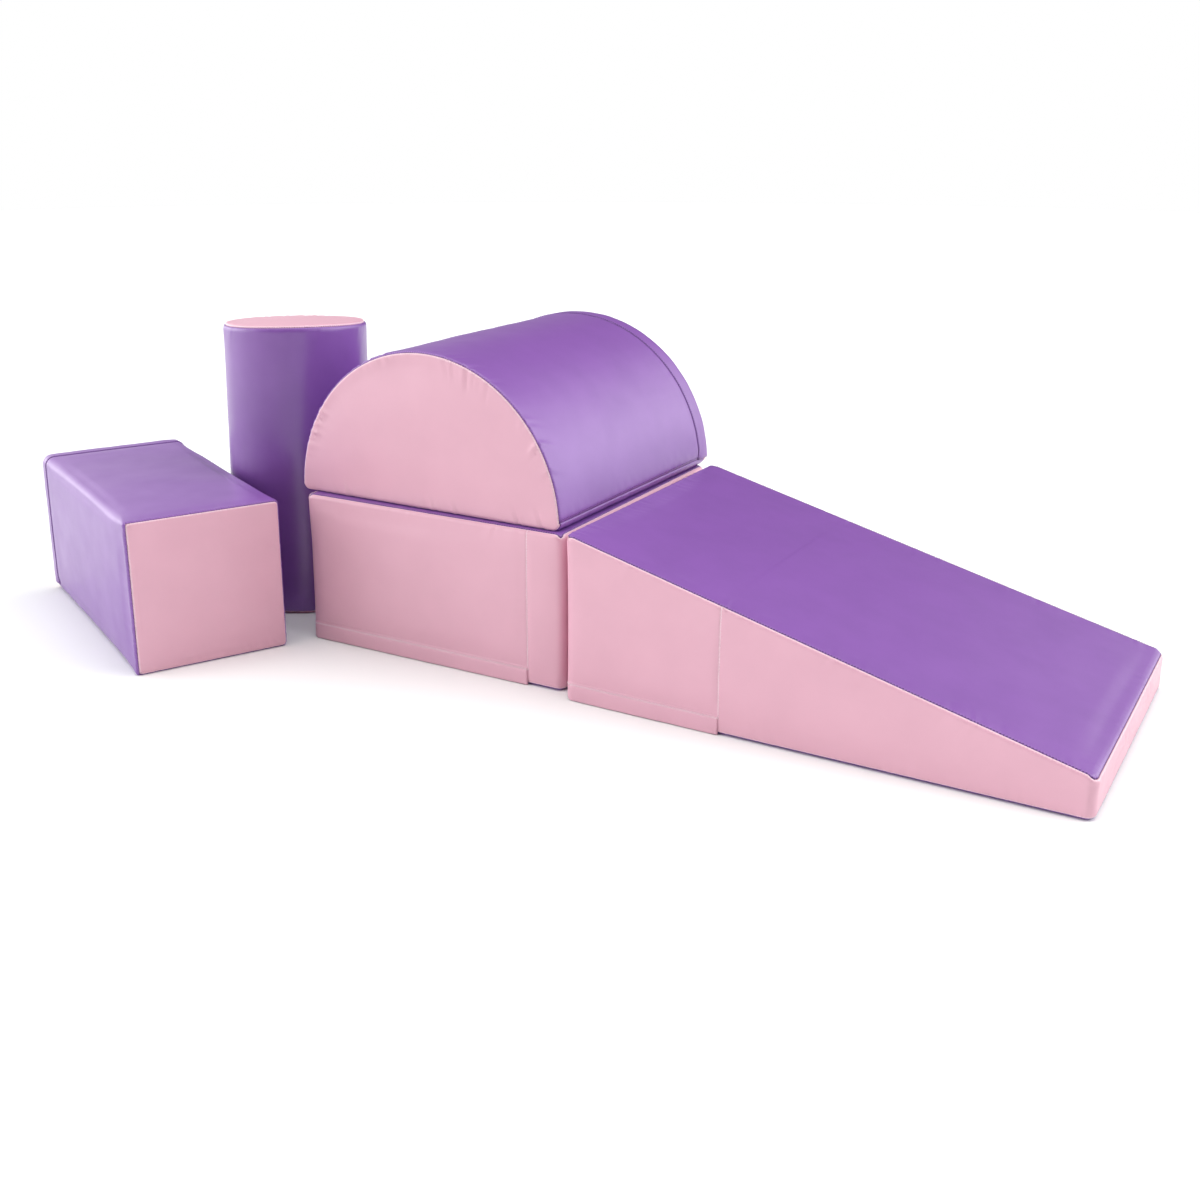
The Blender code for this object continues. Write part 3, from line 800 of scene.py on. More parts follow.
def new_material(name):
    made = bpy.data.materials.new(name)
    made.use_nodes = True
    return made, made.node_tree, made.node_tree.nodes["Principled BSDF"]


def set_input(tree, socket, value):
    if isinstance(value, bpy.types.NodeSocket):
        tree.links.new(value, socket)
    else:
        socket.default_value = value


def add_node(tree, kind, *values, **named):
    """A node with its first inputs set or linked in order. A further name is an input if it
    starts with a capital, and a setting of the node if it does not."""
    node = tree.nodes.new(kind)
    for name, value in named.items():
        if name.islower():
            setattr(node, name, value)
    for socket, value in zip(node.inputs, values):
        set_input(tree, socket, value)
    for name, value in named.items():
        if not name.islower():
            set_input(tree, node.inputs[name.replace("_", " ")], value)
    return node


def math_node(tree, operation, *values):
    return add_node(tree, "ShaderNodeMath", *values, operation=operation).outputs[0]


def vector_node(tree, operation, *values, **named):
    return add_node(tree, "ShaderNodeVectorMath", *values, operation=operation, **named).outputs[0]


def add_sockets(tree, direction, kind, **defaults):
    """Sockets of a node group: its name for each and the value that it starts with, if any."""
    for name, default in defaults.items():
        socket = tree.interface.new_socket(name.replace("_", " "), in_out=direction,
                                           socket_type="NodeSocket" + kind)
        if default is not None:
            socket.default_value = default


def grain_group():
    """Fine creased grain of coated cloth, with slow patches in tone and gloss."""
    tree = bpy.data.node_groups.new("cover grain", "ShaderNodeTree")
    work = partial(math_node, tree)
    add_sockets(tree, "INPUT", "Float", Grain_Size=1.1 * mm, Patch_Size=90 * mm)
    add_sockets(tree, "OUTPUT", "Float", Height=None, Patch=None)
    given = tree.nodes.new("NodeGroupInput").outputs
    done = tree.nodes.new("NodeGroupOutput").inputs
    where = tree.nodes.new("ShaderNodeTexCoord").outputs["Object"]
    pebble = add_node(tree, "ShaderNodeTexVoronoi", feature="SMOOTH_F1", Vector=where,
                      Scale=work("DIVIDE", 1.0, given["Grain Size"]))
    crease = add_node(tree, "ShaderNodeTexNoise", Vector=where,
                      Scale=work("DIVIDE", 0.35, given["Grain Size"]))
    patch = add_node(tree, "ShaderNodeTexNoise", Detail=3, Vector=where,
                     Scale=work("DIVIDE", 1.0, given["Patch Size"]))
    pebbles = work("MULTIPLY", pebble.outputs["Distance"], -0.6)
    creases = work("MULTIPLY", crease.outputs["Fac"], 0.8)
    tree.links.new(work("ADD", pebbles, creases), done["Height"])
    tree.links.new(patch.outputs["Fac"], done["Patch"])
    return tree


def stitch_pull_group():
    """The small dents where each stitch pulls the cloth into the seam."""
    tree = bpy.data.node_groups.new("stitch pull", "ShaderNodeTree")
    work = partial(math_node, tree)
    add_sockets(tree, "INPUT", "Float", Pitch=5 * mm, Fade=3 * mm)
    add_sockets(tree, "OUTPUT", "Float", Height=None, Near=None)
    given = tree.nodes.new("NodeGroupInput").outputs
    done = tree.nodes.new("NodeGroupOutput").inputs
    reach, along = (add_node(tree, "ShaderNodeAttribute", attribute_name=name).outputs["Fac"]
                    for name in ("seam_reach", "seam_along"))
    turns = work("DIVIDE", along, given["Pitch"])
    wave = work("COSINE", work("MULTIPLY", turns, 2 * math.pi))
    near = work("EXPONENT", work("MULTIPLY", work("DIVIDE", reach, given["Fade"]), -1.0))
    tree.links.new(work("MULTIPLY", wave, near), done["Height"])
    tree.links.new(near, done["Near"])
    return tree


grain = grain_group()
stitch_pull = stitch_pull_group()


def mix_colours(tree, share, first, second):
    mix = add_node(tree, "ShaderNodeMix", data_type="RGBA", Factor=share)
    for name, value in (("A", first), ("B", second)):
        set_input(tree, mix.inputs[name], (*value, 1) if isinstance(value, tuple) else value)
    return mix.outputs["Result"]


def ranged(tree, value, low, high, to_low, to_high):
    return add_node(tree, "ShaderNodeMapRange", value, low, high, to_low, to_high).outputs[0]


def cover_material(name, colour, deep, seam_shade_colour, rim_highlight_colour, roughness, coat):
    """Smooth coated cloth: grain, slow patches and stitch dents, with painted shade darkening
    the seam groove and a painted highlight on the rolled rim beside it."""
    made, tree, shader = new_material(name)
    cloth = add_node(tree, "ShaderNodeGroup", node_tree=grain).outputs
    pull = add_node(tree, "ShaderNodeGroup", node_tree=stitch_pull).outputs
    near = pull["Near"]
    body = mix_colours(tree, ranged(tree, cloth["Patch"], 0.35, 0.7, 0, 1), colour, deep)
    # Painted highlight: a paler band on the rolled rim a little way out from the seam
    rim_highlight = math_node(tree, "MULTIPLY", ranged(tree, near, 0.2, 0.5, 0, 0.5),
                    ranged(tree, near, 0.62, 0.82, 1, 0))
    highlighted = mix_colours(tree, rim_highlight, body, rim_highlight_colour)
    # Painted shade: the cover darkened towards the seam shade colour in its groove
    seam = ranged(tree, near, 0.7, 1.0, 0, 0.75)
    fine = add_node(tree, "ShaderNodeBump", Distance=0.05 * mm, Strength=0.5,
                    Height=cloth["Height"])
    dents = add_node(tree, "ShaderNodeBump", Distance=0.5 * mm, Height=pull["Height"],
                     Normal=fine.outputs[0])
    for title, value in (("Base Color", mix_colours(tree, seam, highlighted, seam_shade_colour)),
                         ("Roughness", ranged(tree, cloth["Patch"], 0.3, 0.7, roughness - 0.03,
                                              roughness + 0.04)),
                         ("Normal", dents.outputs[0]), ("Specular IOR Level", 0.65),
                         ("Coat Weight", coat), ("Coat Roughness", 0.22)):
        set_input(tree, shader.inputs[title], value)
    return made


def plain_material(name, colour, roughness, metallic=0.0, grain_size=1.5 * mm, depth=0.1 * mm):
    """A finish with the fine unevenness of its own surface."""
    made, tree, shader = new_material(name)
    cloth = add_node(tree, "ShaderNodeGroup", node_tree=grain, Grain_Size=grain_size).outputs
    darker = tuple(channel * 0.8 for channel in colour)
    bump = add_node(tree, "ShaderNodeBump", Distance=depth, Height=cloth["Height"])
    for title, value in (("Base Color", mix_colours(tree, cloth["Patch"], darker, colour)),
                         ("Roughness", roughness), ("Metallic", metallic),
                         ("Normal", bump.outputs[0])):
        set_input(tree, shader.inputs[title], value)
    return made


# Each cover's last two colours are painted light: the shade in its seam groove and the highlight
# on its rim
purple_cover = cover_material("purple cover", (0.250, 0.098, 0.405), (0.228, 0.088, 0.375),
                              (0.11, 0.04, 0.21), (0.26, 0.105, 0.415), 0.34, 0.2)
pink_cover = cover_material("pink cover", (0.745, 0.405, 0.510), (0.720, 0.388, 0.492),
                            (0.62, 0.29, 0.39), (0.98, 0.80, 0.86), 0.38, 0.1)
foam_cells = plain_material("foam", (0.80, 0.79, 0.76), 0.95, grain_size=2.5 * mm, depth=0.5 * mm)
hook_tape = plain_material("hook tape", (0.72, 0.42, 0.54), 0.8, depth=0.3 * mm)
loop_tape = plain_material("loop tape", (0.16, 0.06, 0.30), 0.95, depth=0.4 * mm)
zip_cloth = plain_material("zip cloth", (0.14, 0.055, 0.25), 0.85, grain_size=0.8 * mm)
zip_teeth = plain_material("zip teeth", (0.20, 0.085, 0.34), 0.35, depth=0.02 * mm)
slider_metal = plain_material("slider metal", (0.62, 0.61, 0.60), 0.28, 1.0, depth=0.01 * mm)
pink_thread = plain_material("pink thread", (0.95, 0.76, 0.83), 0.6, grain_size=0.4 * mm)
purple_thread = plain_material("purple thread", (0.085, 0.03, 0.17), 0.55, grain_size=0.4 * mm)


def dress(piece, finish, body, slot, *nodes):
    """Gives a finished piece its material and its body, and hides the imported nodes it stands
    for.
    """
    piece.data.materials.clear()
    piece.data.materials.append(finish)
    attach(piece, body)
    if nodes:
        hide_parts(*nodes)


def dress_panels(block, body, skin, finishes):
    for panel, (finish, slot) in finishes.items():
        piece = skin.panel_object(f"{block}_{panel}_sewn", panel)
        dress(piece, finish, body, slot, f"{block}_{panel}")


purple = (purple_cover, "purple_cover")
pink = (pink_cover, "pink_cover")
purple_stitching = (purple_thread, "purple_cover")
pink_stitching = (pink_thread, "pink_cover")


# Stitches and zip teeth, laid along lines by Geometry Nodes

def stitch_tree():
    """Evenly spaced stitches along a line, each slanted to the other side of it in turn."""
    tree = bpy.data.node_groups.new("stitch run", "GeometryNodeTree")
    work = partial(math_node, tree)
    add_sockets(tree, "INPUT", "Geometry", Line=None)
    add_sockets(tree, "INPUT", "Float", Pitch=None, Length=None, Radius=None, Slant=None,
                Lean=None, Looseness=None)
    add_sockets(tree, "INPUT", "Int", Seed=None)
    add_sockets(tree, "INPUT", "Material", Finish=None)
    add_sockets(tree, "OUTPUT", "Geometry", Stitches=None)
    given = tree.nodes.new("NodeGroupInput").outputs
    done = tree.nodes.new("NodeGroupOutput").inputs
    curve = add_node(tree, "GeometryNodeMeshToCurve", given["Line"]).outputs[0]
    points = add_node(tree, "GeometryNodeCurveToPoints", curve, mode="LENGTH",
                      Length=given["Pitch"]).outputs
    outward = add_node(tree, "GeometryNodeInputNamedAttribute", "outward",
                       data_type="FLOAT_VECTOR").outputs["Attribute"]
    place = tree.nodes.new("GeometryNodeInputIndex").outputs[0]
    side = work("MULTIPLY_ADD", work("FLOORED_MODULO", place, 2.0), -2.0, 1.0)
    chance = add_node(tree, "FunctionNodeRandomValue", data_type="FLOAT", Seed=given["Seed"])
    least, most = (socket for socket in chance.inputs
                   if socket.name in ("Min", "Max") and socket.type == "VALUE")
    least.default_value, most.default_value = -1.0, 1.0
    wander = next(socket for socket in chance.outputs if socket.type == "VALUE")
    leaning = work("ADD", given["Lean"], work("MULTIPLY", wander, given["Looseness"]))
    angle = work("MULTIPLY_ADD", given["Slant"], side, leaning)
    across = vector_node(tree, "CROSS_PRODUCT", outward, points["Tangent"])
    forward = vector_node(tree, "SCALE", points["Tangent"], Scale=work("COSINE", angle))
    sideways = vector_node(tree, "SCALE", across, Scale=work("SINE", angle))
    heading = vector_node(tree, "ADD", forward, sideways)
    turned = add_node(tree, "FunctionNodeAxesToRotation", outward, heading,
                      primary_axis="Z", secondary_axis="X").outputs[0]
    half = work("MULTIPLY", given["Length"], 0.5)
    size = add_node(tree, "ShaderNodeCombineXYZ", half, given["Radius"], given["Radius"])
    bead = add_node(tree, "GeometryNodeMeshUVSphere", 8, 5, 1.0).outputs[0]
    laid = add_node(tree, "GeometryNodeInstanceOnPoints", points["Points"], Instance=bead,
                    Rotation=turned, Scale=size.outputs[0]).outputs[0]
    real = add_node(tree, "GeometryNodeRealizeInstances", laid).outputs[0]
    painted = add_node(tree, "GeometryNodeSetMaterial", real, Material=given["Finish"])
    tree.links.new(painted.outputs[0], done[0])
    return tree


stitches = stitch_tree()


def lay_stitches(name, lines, finish, body, slot, *replaced, **sizes):
    """Lays one run of stitches or teeth along each line, as a plain mesh on its body."""
    spots, outs, edges = [], [], []
    for line, outward in lines:
        first = len(spots)
        spots.extend(line)
        outs.extend(outward)
        edges += [(first + step, first + step + 1) for step in range(len(line) - 1)]
    mesh = new_mesh(name, spots, edges, [])
    layer = mesh.attributes.new("outward", "FLOAT_VECTOR", "POINT")
    layer.data.foreach_set("vector", np.array(outs, np.float32).ravel())
    piece = add_object(name, mesh)
    run = piece.modifiers.new("stitches", "NODES")
    run.node_group = stitches
    values = dict(Seed=7, Finish=finish, Slant=0.0, Lean=0.0, Looseness=0.06) | sizes
    for socket in stitches.interface.items_tree:
        if socket.name in values:
            run[socket.identifier] = values[socket.name]
    apply_modifiers(piece)
    piece.data.shade_smooth()
    dress(piece, finish, body, slot, *replaced)


def seam_stitches(block, place, lines, thread, slot):
    lay_stitches(f"{block}_{place}_stitches", lines, thread, f"{block}_block", slot,
                 **seam_stitch)


def zip_chain(block, lines):
    lay_stitches(f"{block}_zip_teeth", lines, zip_teeth, f"{block}_block", "zip_chain",
                 f"{block}_zip_chain", **zip_tooth)


# Strips of cover: flies over the zips and hem flaps

def strip_object(name, grid, reach, along):
    """A strip of cover from a grid of points, with its distance from its own stitching."""
    rows, columns = grid.shape[:2]
    lows = [row * columns + column for row in range(rows - 1) for column in range(columns - 1)]
    faces = [(low + columns, low + columns + 1, low + 1, low) for low in lows]
    return cover_object(name, grid.reshape(-1, 3), faces, reach, along)


def gentle_waves(along, seed, lengths):
    """A slack edge's unevenness, from a few waves along it."""
    chance = np.random.default_rng(seed)
    total = np.zeros_like(along)
    for length in lengths:
        total += np.sin(2 * math.pi * along / length + chance.uniform(0, 2 * math.pi))
    return total / math.sqrt(len(lengths))


def build_fly(block, skin, columns, width, length, seed):
    """The raised strip that hides the zip, stitched down along its front edge."""
    point, out, crown = (values[columns] for values in skin.outline[:3])
    along = np.cumsum(np.linalg.norm(np.diff(point, axis=0, prepend=point[:1]), axis=1))
    slack = gentle_waves(along, seed, fly_waves)
    turning = np.linalg.norm(np.gradient(out, axis=0), axis=1)
    pressed = 1 - fly_corner_share * (turning > fly_corner_turning)
    near = 2 * fly_corner_columns + 1
    pressed = np.convolve(np.pad(pressed, fly_corner_columns, mode="edge"),
                          np.ones(near) / near, mode="valid")
    grid, reach = [], []
    swollen = fly_swell * wall_share(skin.outline)[columns]
    for share, lift in fly_section:
        rear = width * (1 - share)
        # The strip stays over the swollen wrap up to its last tenths, where it is free
        over_wrap = min(1, max(0, 9 - 10 * share))
        level = swollen * over_wrap + min(lift, fly_least_lift) * mm
        rise = cover_crown * swell(rear / length) * crown
        height = rise + np.maximum(lift * mm * pressed, level)
        height += slack * slack_height * share * (lift > 2)
        spots = point + out * height[:, None]
        grid.append(np.column_stack((spots, np.full(len(spots), rear))))
        reach.append(np.full(len(spots), abs(share * width - fly_stitch_inset) + faint_reach / 2))
    world = skin.world_grid(grid)
    along = np.broadcast_to(along, world.shape[:2])
    piece = strip_object(f"{block}_fly_sewn", world, np.array(reach), along)
    dress(piece, purple_cover, f"{block}_block", "purple_cover", f"{block}_fly")
    outward = skin.outward(out)
    stitch_line = (world[fly_stitch_row] + outward * seam_stitch["Radius"], outward)
    seam_stitches(block, "fly", [stitch_line], *purple_stitching)


def zip_lines(skin, columns, middle):
    """Two lines along a zip's middle, one for the teeth of each half."""
    point, out = skin.outline.point[columns], skin.outline.out[columns]
    outward = skin.outward(out)
    lines = []
    for side in (-1, 1):
        spots = point + out * tooth_lift
        spots = np.column_stack((spots, np.full(len(spots), middle + side * tooth_offset)))
        lines.append((skin.world(spots), outward))
    return lines


def build_hem(block, skin, seam, seed):
    """The hem flap that closes over the hook and loop, laid on the skin from the middle of
    its left corner to just past its upright seam."""
    columns = list(range(seam + hem_past_seam))
    outline = skin.outline
    point, out, along = (values[columns] for values in (outline.point, outline.out, outline.reach))
    side = skin.side_grid()[:, columns]
    proud = np.einsum("rcd,cd->rc", side[..., :2] - point, out)
    bulge = np.array([np.interp(hem_height + hem_overlap, side[:, column, 2], proud[:, column])
                      for column in columns])
    slack = gentle_waves(along, seed, hem_waves)
    turned = np.clip(1 - along / along[skin.first_column], 0, 1)
    end = np.sqrt(np.clip((along[-1] - along) / hem_end_curl, 0, 1))
    grid = []
    for proud, height in flap_section:
        loose = slack_height * slack * np.clip(1 - height / hem_slack_top, 0, 1)
        off = (proud * mm + loose) * (1 - hem_corner_flat * turned)
        off *= hem_end_lift + (1 - hem_end_lift) * end
        off += bulge * np.clip((height - hem_bulge_start) / hem_bulge_run, 0, 1) + hem_gap
        rise = hem_corner_rise * turned ** 2 * np.clip(1 - height / hem_rise_top, 0, 1)
        grid.append(np.column_stack((point + out * off[:, None], height * mm + rise)))
    world = skin.world_grid(grid)
    piece = strip_object(f"{block}_hem_sewn", world, np.full(world.shape[:2], far_from_seam),
                         np.broadcast_to(along, world.shape[:2]))
    body = f"{block}_flap"
    dress(piece, pink_cover, body, "pink_cover", f"{block}_hem_flap")
    outward = skin.outward(out)
    zigzag_line = (world[zigzag_row] + outward * thread_lift, outward)
    lay_stitches(f"{block}_hem_zigzag", [zigzag_line], pink_thread, body, "pink_cover",
                 **zigzag_stitch)


# The blocks

def press_flat(skin, front, seam_x):
    """Keeps the cover flat behind the hem and its hook and loop, as far as the upright seam."""
    above = np.clip(skin.verts[:, 2] - hem_height - flat_reach, 0, None)
    limit = front - above / flat_slope
    behind = (skin.verts[:, 1] < limit) & (skin.verts[:, 0] < seam_x)
    skin.verts[behind, 1] = limit[behind]


def front_column(outline, x):
    """The column of the front side that is nearest to a place along it."""
    off = np.abs(outline.point[:, 0] - x)
    return int(np.argmin(np.where(outline.point[:, 1] > 0, np.inf, off)))


def band_outline(size, seam_reach):
    """A base or ramp's outline, and the place of its upright seam along the front."""
    length, depth = size
    seam_x = -length / 2 + seam_reach
    return rectangle_outline(-length / 2, length / 2, -depth / 2, depth / 2, seam_x), seam_x


def block_skin(block, size, outline, seam_x, profile, seam_drop, place, seed, shape=None,
               crown=0.0, still=None):
    """A base or ramp cover: a band round the sides between a top and a bottom panel."""
    length, depth = size
    stretches = [("bottom", profile.low_seam(foot_seam_angle), even_rows),
                 ("low", profile.at_height(hem_height), fine_low),
                 ("band", profile.high_drop(seam_drop), fine_high),
                 ("top", profile.end, fine_low)]
    seam = front_column(outline, seam_x)
    first = front_column(outline, corner_radius - length / 2)

    def panel_of(part, column):
        if part == "bottom" or part == "top":
            return part + "_panel"
        if part == "low" and column is not None and first <= column < seam:
            return "bottom_panel"
        return "side_band"

    skin = Skin(outline, profile, stretches, panel_of, place, shape, "flat", crown)
    skin.first_column = first
    low_row, hem_row, high_row = skin.break_rows[1:4]
    lines = [*skin.rings(high_row, low_row),
             (skin.column_line(seam, low_row, high_row), light_seam)]
    corners = [(high_row * skin.columns + corner, *corner_pinch)
               for corner in outline.quarters]
    skin.sew(seed, lines, pinches=corners, still=still)
    press_flat(skin, -depth / 2, seam_x)
    dress_panels(block, f"{block}_block", skin,
                 {"top_panel": purple, "side_band": pink, "bottom_panel": purple})
    top_line = skin.thread(skin.row_line(high_row + seam_stitch_row))
    seam_stitches(block, "top", [top_line], *purple_stitching)
    side_line = skin.thread(skin.column_line(seam + seam_stitch_row, hem_row, high_row))
    seam_stitches(block, "band", [side_line], *pink_stitching)
    build_hem(block, skin, seam, seed + 1)


def build_base():
    low, high = local_box("base_side_band", 0.0)
    size = (high - low)[:2] - 2 * cover_crown
    place = Matrix.Translation(((low + high)[0] / 2, (low + high)[1] / 2, 0))
    top = base_height - level_gap
    outline, seam_x = band_outline(size, size[0] - base_seam_inset)
    profile = Profile(base_height, foot_radius, base_edge_radius, len(outline.point))
    seam_drop = base_seam_drop + notch_drop * np.exp(-(from_corners(outline) / notch_reach) ** 2)

    def under_arch(verts):
        return (verts[:, 2] > top).astype(float)

    block_skin("base", size, outline, seam_x, profile, seam_drop, place, 11, still=under_arch)


def build_ramp():
    turn = turn_of(joint("ramp_slide")["axis"])
    low, high = local_box("ramp_side_band", turn)
    size = (high - low)[:2] - 2 * cover_crown
    length = size[0]
    place = placed(turn, *((low + high)[:2] / 2))
    outline, seam_x = band_outline(size, ramp_seam_reach)
    x = outline.point[:, 0]
    to_low_end = np.clip((x - length / 2 + corner_radius) / corner_radius, 0, 1)
    to_high_end = np.clip((-x - length / 2 + corner_radius) / corner_radius, 0, 1) ** 2
    edge = ramp_edge_radius + ramp_low_edge_extra * to_low_end ** 2
    fall = (ramp_seam_fall + (ramp_low_seam_fall - ramp_seam_fall) * to_low_end
            + (ramp_high_seam_fall - ramp_seam_fall) * to_high_end)
    profile = Profile(ramp_high, foot_radius, edge, len(outline.point))

    def slope(verts):
        keep = hem_height + hem_overlap
        drop = (ramp_low - ramp_high) * (verts[:, 0] + length / 2) / length
        share = np.clip((verts[:, 2] - keep) / (ramp_high - ramp_level_edge - keep), 0, 1)
        sloped = verts.copy()
        sloped[:, 2] += drop * share
        return sloped

    block_skin("ramp", size, outline, seam_x, profile, edge * np.arccos(1 - fall / edge), place,
               23, slope, ramp_crown)


def lying_place(block, turn, foot):
    """A lying block's place, half its width and its length between its ends' crowns."""
    low, high = local_box(f"{block}_rear_panel", turn)
    front = local_box(f"{block}_front_panel", turn)[0][1]
    place = placed(turn, (low + high)[0] / 2, high[1] - end_crown, foot, lying=True)
    return place, (high - low)[0] / 2, high[1] - front - 2 * end_crown


def is_under(outline, column, foot_top):
    """Whether a lying block's column is part of its underside."""
    side = outline.point[:, 1]
    return max(side[column], side[(column + 1) % len(side)]) <= foot_top


def lying_skin(outline, length, fly_width, place, under_panel, foot_top, front_angle, fit=None):
    """A half-round or box skin: pink ends, and a wrap that opens at a zip near its rear."""
    profile = Profile(length, rear_edge_radius, face_edge_radius, len(outline.point))
    stretches = [("rear", profile.at_height(zip_start), even_rows),
                 ("zip", profile.at_height(zip_tape_end), even_rows),
                 ("wrap", profile.at_height(fly_width), even_rows),
                 ("wrap", profile.high_seam(front_angle), fine_ends),
                 ("front", profile.end, fine_low)]

    def panel_of(part, column):
        if part in ("rear", "front"):
            return part + "_panel"
        if column is not None and is_under(outline, column, foot_top):
            return under_panel
        return "wrap" if part == "wrap" else None

    return Skin(outline, profile, stretches, panel_of, place, None, "grid", end_crown,
                end_crown, swell_at_fly(outline, fly_width, fit))


def rear_is_still(verts):
    return np.clip((zip_flat_end - verts[:, 2]) / zip_start, 0, 1)


def foot_and_rear_are_still(verts):
    return np.maximum(rear_is_still(verts), verts[:, 1] < cover_thickness)


def wall_columns(skin, foot_top):
    """The columns that the zip runs over, from one foot to the other."""
    bare = [column for column in range(skin.columns)
            if not is_under(skin.outline, column, foot_top)]
    return bare + [bare[-1] + 1]


def close_rear(block, skin, columns, length, fly_width, seed):
    build_fly(block, skin, columns, fly_width, length, seed)
    zip_chain(block, zip_lines(skin, columns, zip_start + zip_tape_width / 2))


def build_arch():
    axis = joint("arch_zip")["axis"]
    turn = turn_of((-axis[1], axis[0]))
    foot = local_box("arch_bottom_panel", turn)[0][2]
    place, radius, depth = lying_place("arch", turn, foot)
    outline = half_round_outline(radius, arch_foot_radius)

    usual, more_at_foot = arch_seam_angles
    front_angle = np.radians(usual + more_at_foot * (outline.point[:, 1] < arch_foot_radius))
    skin = lying_skin(outline, depth, arch_fly_width, place, "bottom_panel", arch_foot_top,
                      front_angle)
    rear_row, tape_row, fly_row, front_row = skin.break_rows[1:5]
    walls = wall_columns(skin, arch_foot_top)
    lines = [*skin.rings(front_row, rear_row), (skin.row_line(fly_row, walls), arch_fly_seam)]
    lines += [(skin.column_line(column, tape_row, front_row), arch_foot_seam)
              for column in (walls[0], walls[-1])]
    skin.sew(37, lines, arch_pucker, still=foot_and_rear_are_still)
    dress_panels("arch", "arch_block", skin, {"wrap": purple, "bottom_panel": purple,
                                              "front_panel": pink, "rear_panel": pink})
    close_rear("arch", skin, walls, depth, arch_fly_width, 61)
    foot_stitches = [skin.thread(skin.column_line(column, fly_row, front_row))
                     for column in (walls[1], walls[-2])]
    seam_stitches("arch", "foot", foot_stitches, *purple_stitching)


def build_box():
    along = joint("box_slide")["axis"]
    turn = turn_of(along) - math.pi / 2
    place, half, length = lying_place("box", turn, 0)
    top = local_box("box_rear_panel", turn)[1][2]
    outline = rectangle_outline(-half, half, 0, top)
    outline = outline._replace(crown=outline.crown * (outline.point[:, 1] > 1 * mm))

    usual, less_at_left = box_seam_angles
    at_left = outline.point[:, 0] < corner_radius - half

    def radii(height):
        front = np.clip((height - length + box_soft_reach) / box_soft_run, 0, 1)
        whole = np.clip((height - box_crisp_reach) / box_crisp_run, 0, 1)
        crisp = corner_radius + (box_crisp_radius - corner_radius) * whole
        soft = corner_radius + (box_soft_radius - corner_radius) * front ** 2
        return np.stack((soft, crisp, crisp, soft), 1)

    skin = lying_skin(outline, length, box_fly_width, place, "wrap", box_foot_top,
                      np.radians(usual - less_at_left * at_left), fit_corners(outline, radii))
    rear_row, fly_row, front_row = (skin.break_rows[number] for number in (1, 3, 4))
    walls = wall_columns(skin, box_foot_top)
    lines = [*skin.rings(front_row, rear_row), (skin.row_line(fly_row, walls), box_fly_seam)]
    corners = [(front_row * skin.columns + corner, *box_corner_pinch)
               for corner in outline.quarters]
    skin.sew(41, lines, still=rear_is_still, pinches=corners)
    dress_panels("box", "box_block", skin,
                 {"wrap": purple, "front_panel": pink, "rear_panel": pink})
    close_rear("box", skin, walls, length, box_fly_width, 67)


def build_cylinder():
    low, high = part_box("cylinder_wrap")
    radius = (high.x - low.x) / 2
    middle = (low + high) / 2
    tape_low, tape_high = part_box("cylinder_zip_tape")
    towards = (tape_low + tape_high) / 2 - middle
    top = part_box("cylinder_top_panel")[1].z - level_gap
    outline = circle_outline(radius)
    columns = len(outline.point)
    profile = Profile(top, foot_radius, top_edge_radius, columns)
    sag = cylinder_seam_wave * np.sin(3 * np.arange(columns) * 2 * math.pi / columns + 1)
    stretches = [("bottom", profile.low_seam(cylinder_foot_seam_angle), even_rows),
                 ("wrap", profile.at_height(tape_low.z), fine_low),
                 ("zip", profile.at_height(tape_high.z), even_rows),
                 ("wrap", profile.high_drop(cylinder_seam_drop + sag * mm), fine_high),
                 ("top", profile.end, fine_low)]

    def panel_of(part, column):
        if part == "zip" and column in range(zip_columns):
            return None
        return part + "_panel" if part in ("bottom", "top") else "wrap"

    def beside_zip(verts):
        start, run = cylinder_still_shares
        return np.clip((verts[:, 0] - radius * start) / (radius * run), 0, 1)

    place = Matrix.Translation((middle.x, middle.y, 0)) @ Matrix.Rotation(turn_of(towards), 4, "Z")
    away, aside = (np.array(place.to_3x3().inverted() @ Vector(heading))[:2]
                   for heading in (cylinder_fall_heading, cylinder_bend_heading))

    def lean(verts):
        share = np.clip(verts[:, 2] / top, 0, 1)
        above_zip = (verts[:, 2] - tape_high.z) / (top - cylinder_top_clear - tape_high.z)
        near_zip = (np.interp(np.abs(verts[:, 1]), cylinder_zip_clear, (1, 0))
                    * (verts[:, 0] > radius / 2))
        fall = share ** 2 * (1 - near_zip) + np.clip(above_zip, 0, 1) * near_zip
        leant = verts.copy()
        leant[:, 2] -= (cylinder_top_fall + cylinder_sag * (verts[:, :2] @ away) / radius) * fall
        left = np.clip(-(verts[:, :2] @ aside) / radius - cylinder_bend_side, 0, 1)
        near_left = left / (1 - cylinder_bend_side)
        shift = np.interp(share, *cylinder_bend) * mm * near_left ** 2
        leant[:, :2] += aside * shift[:, None]
        return leant

    skin = Skin(outline, profile, stretches, panel_of, place, lean, "flat", cylinder_crown)
    low_row, zip_row, end_row, high_row = skin.break_rows[1:5]
    skin.sew(53, skin.rings(high_row, low_row), cylinder_pucker, still=beside_zip)
    dress_panels("cylinder", "cylinder_block", skin,
                 {"wrap": purple, "top_panel": pink, "bottom_panel": pink})
    count = 60
    heights = np.linspace(tape_low.z + zip_end_gap, tape_high.z - zip_end_gap, count)
    lines = []
    for side in (-1, 1):
        spots = np.column_stack((np.full(count, radius + tooth_lift),
                                 np.full(count, side * tooth_offset), heights))
        lines.append((skin.world(spots), np.tile(skin.place[:3, 0], (count, 1))))
    zip_chain("cylinder", lines)
    edges = [skin.thread(skin.column_line(column, zip_row, end_row))
             for column in (zip_columns + 1, columns - 1)]
    seam_stitches("cylinder", "zip", edges, *purple_stitching)
    return place, lean


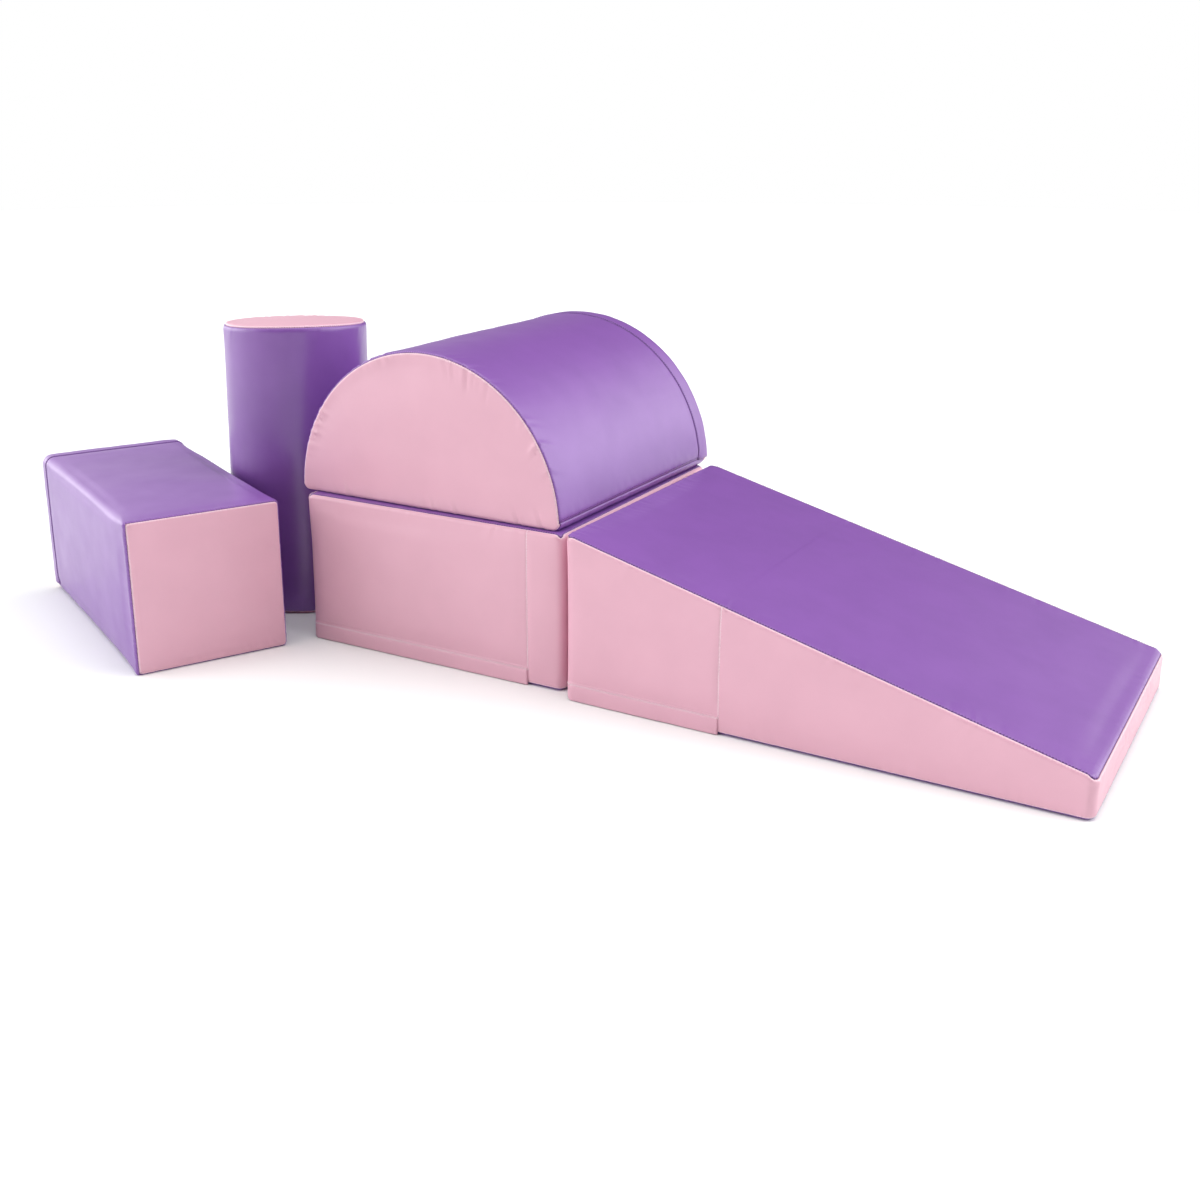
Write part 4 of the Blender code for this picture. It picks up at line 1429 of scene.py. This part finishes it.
# Foam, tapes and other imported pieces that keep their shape

def build_foam(block, place=None, lean=None):
    """The foam inside a cover, drawn back from the sewn panels."""
    node = f"{block}_foam_core"
    piece = add_object(f"{block}_foam_block", frame["nodes"][node].data.copy())
    shape = bmesh.new()
    shape.from_mesh(piece.data)
    bmesh.ops.remove_doubles(shape, verts=shape.verts, dist=0.05 * mm)
    shape.normal_update()
    for vert in shape.verts:
        vert.co -= vert.normal * foam_inset
    if lean:
        local = np.array([place.inverted() @ vert.co for vert in shape.verts])
        for vert, spot in zip(shape.verts, lean(local)):
            vert.co = place @ Vector(spot)
    shape.to_mesh(piece.data)
    shape.free()
    dress(piece, foam_cells, f"{block}_block", "foam", node)


def finish_nodes(finish, *names):
    for name in names:
        mesh = frame["nodes"][name].data
        mesh.materials.clear()
        mesh.materials.append(finish)


# Floor, light and camera

def add_floor():
    bpy.ops.mesh.primitive_circle_add(vertices=96, radius=floor_radius, fill_type="NGON")
    floor = bpy.context.object
    floor.name = "floor"
    made, tree, shader = new_material("pale floor")
    for title, value in (("Base Color", (0.92, 0.94, 0.925, 1)), ("Roughness", 0.9),
                         ("Specular IOR Level", 0.2)):
        shader.inputs[title].default_value = value
    floor.data.materials.append(made)


def add_surround():
    """A studio of soft walls: each gives light from one side, and the camera sees white."""
    world = bpy.data.worlds.new("studio")
    world.use_nodes = True
    tree = world.node_tree
    work = partial(math_node, tree)
    shade = tree.nodes["Background"]
    where = tree.nodes.new("ShaderNodeTexCoord").outputs["Generated"]
    total = None
    for heading, spread, strength in surround_lights:
        side = add_node(tree, "ShaderNodeVectorMath", where, Vector(heading).normalized(),
                        operation="DOT_PRODUCT").outputs["Value"]
        glow = work("MULTIPLY", work("POWER", work("MAXIMUM", side, 0.0), spread), strength)
        total = glow if total is None else work("ADD", total, glow)
    seen = tree.nodes.new("ShaderNodeLightPath").outputs["Is Camera Ray"]
    tree.links.new(work("MAXIMUM", total, seen), shade.inputs["Color"])
    bpy.context.scene.world = world


def add_camera():
    lens_pixels = 1399.8
    frame_pixels = 1200
    middle_x, middle_y = 581.5, 529.2
    camera = bpy.data.cameras.new("camera")
    camera.sensor_width = 36
    camera.lens = lens_pixels * camera.sensor_width / frame_pixels
    camera.shift_x = 0.5 - middle_x / frame_pixels
    camera.shift_y = middle_y / frame_pixels - 0.5
    stand = add_object("camera", camera)
    stand.location = (1.5006, -2.3589, 1.0245)
    below_level, turned = 16.6, 29.57
    stand.rotation_euler = (math.radians(90 - below_level), 0, math.radians(turned))
    bpy.context.scene.camera = stand


bpy.context.scene.view_settings.view_transform = "Standard"
add_floor()
add_surround()
add_camera()

build_base()
build_ramp()
build_arch()
build_box()
for block in ("base", "ramp", "arch", "box"):
    build_foam(block)
build_foam("cylinder", *build_cylinder())
finish_nodes(hook_tape, "base_hook_strip", "ramp_hook_strip")
finish_nodes(loop_tape, "base_loop_strip", "ramp_loop_strip")
finish_nodes(zip_cloth, "arch_zip_tape", "box_zip_tape", "cylinder_zip_tape")
finish_nodes(slider_metal, "arch_zip_slider", "box_zip_slider", "cylinder_zip_slider")
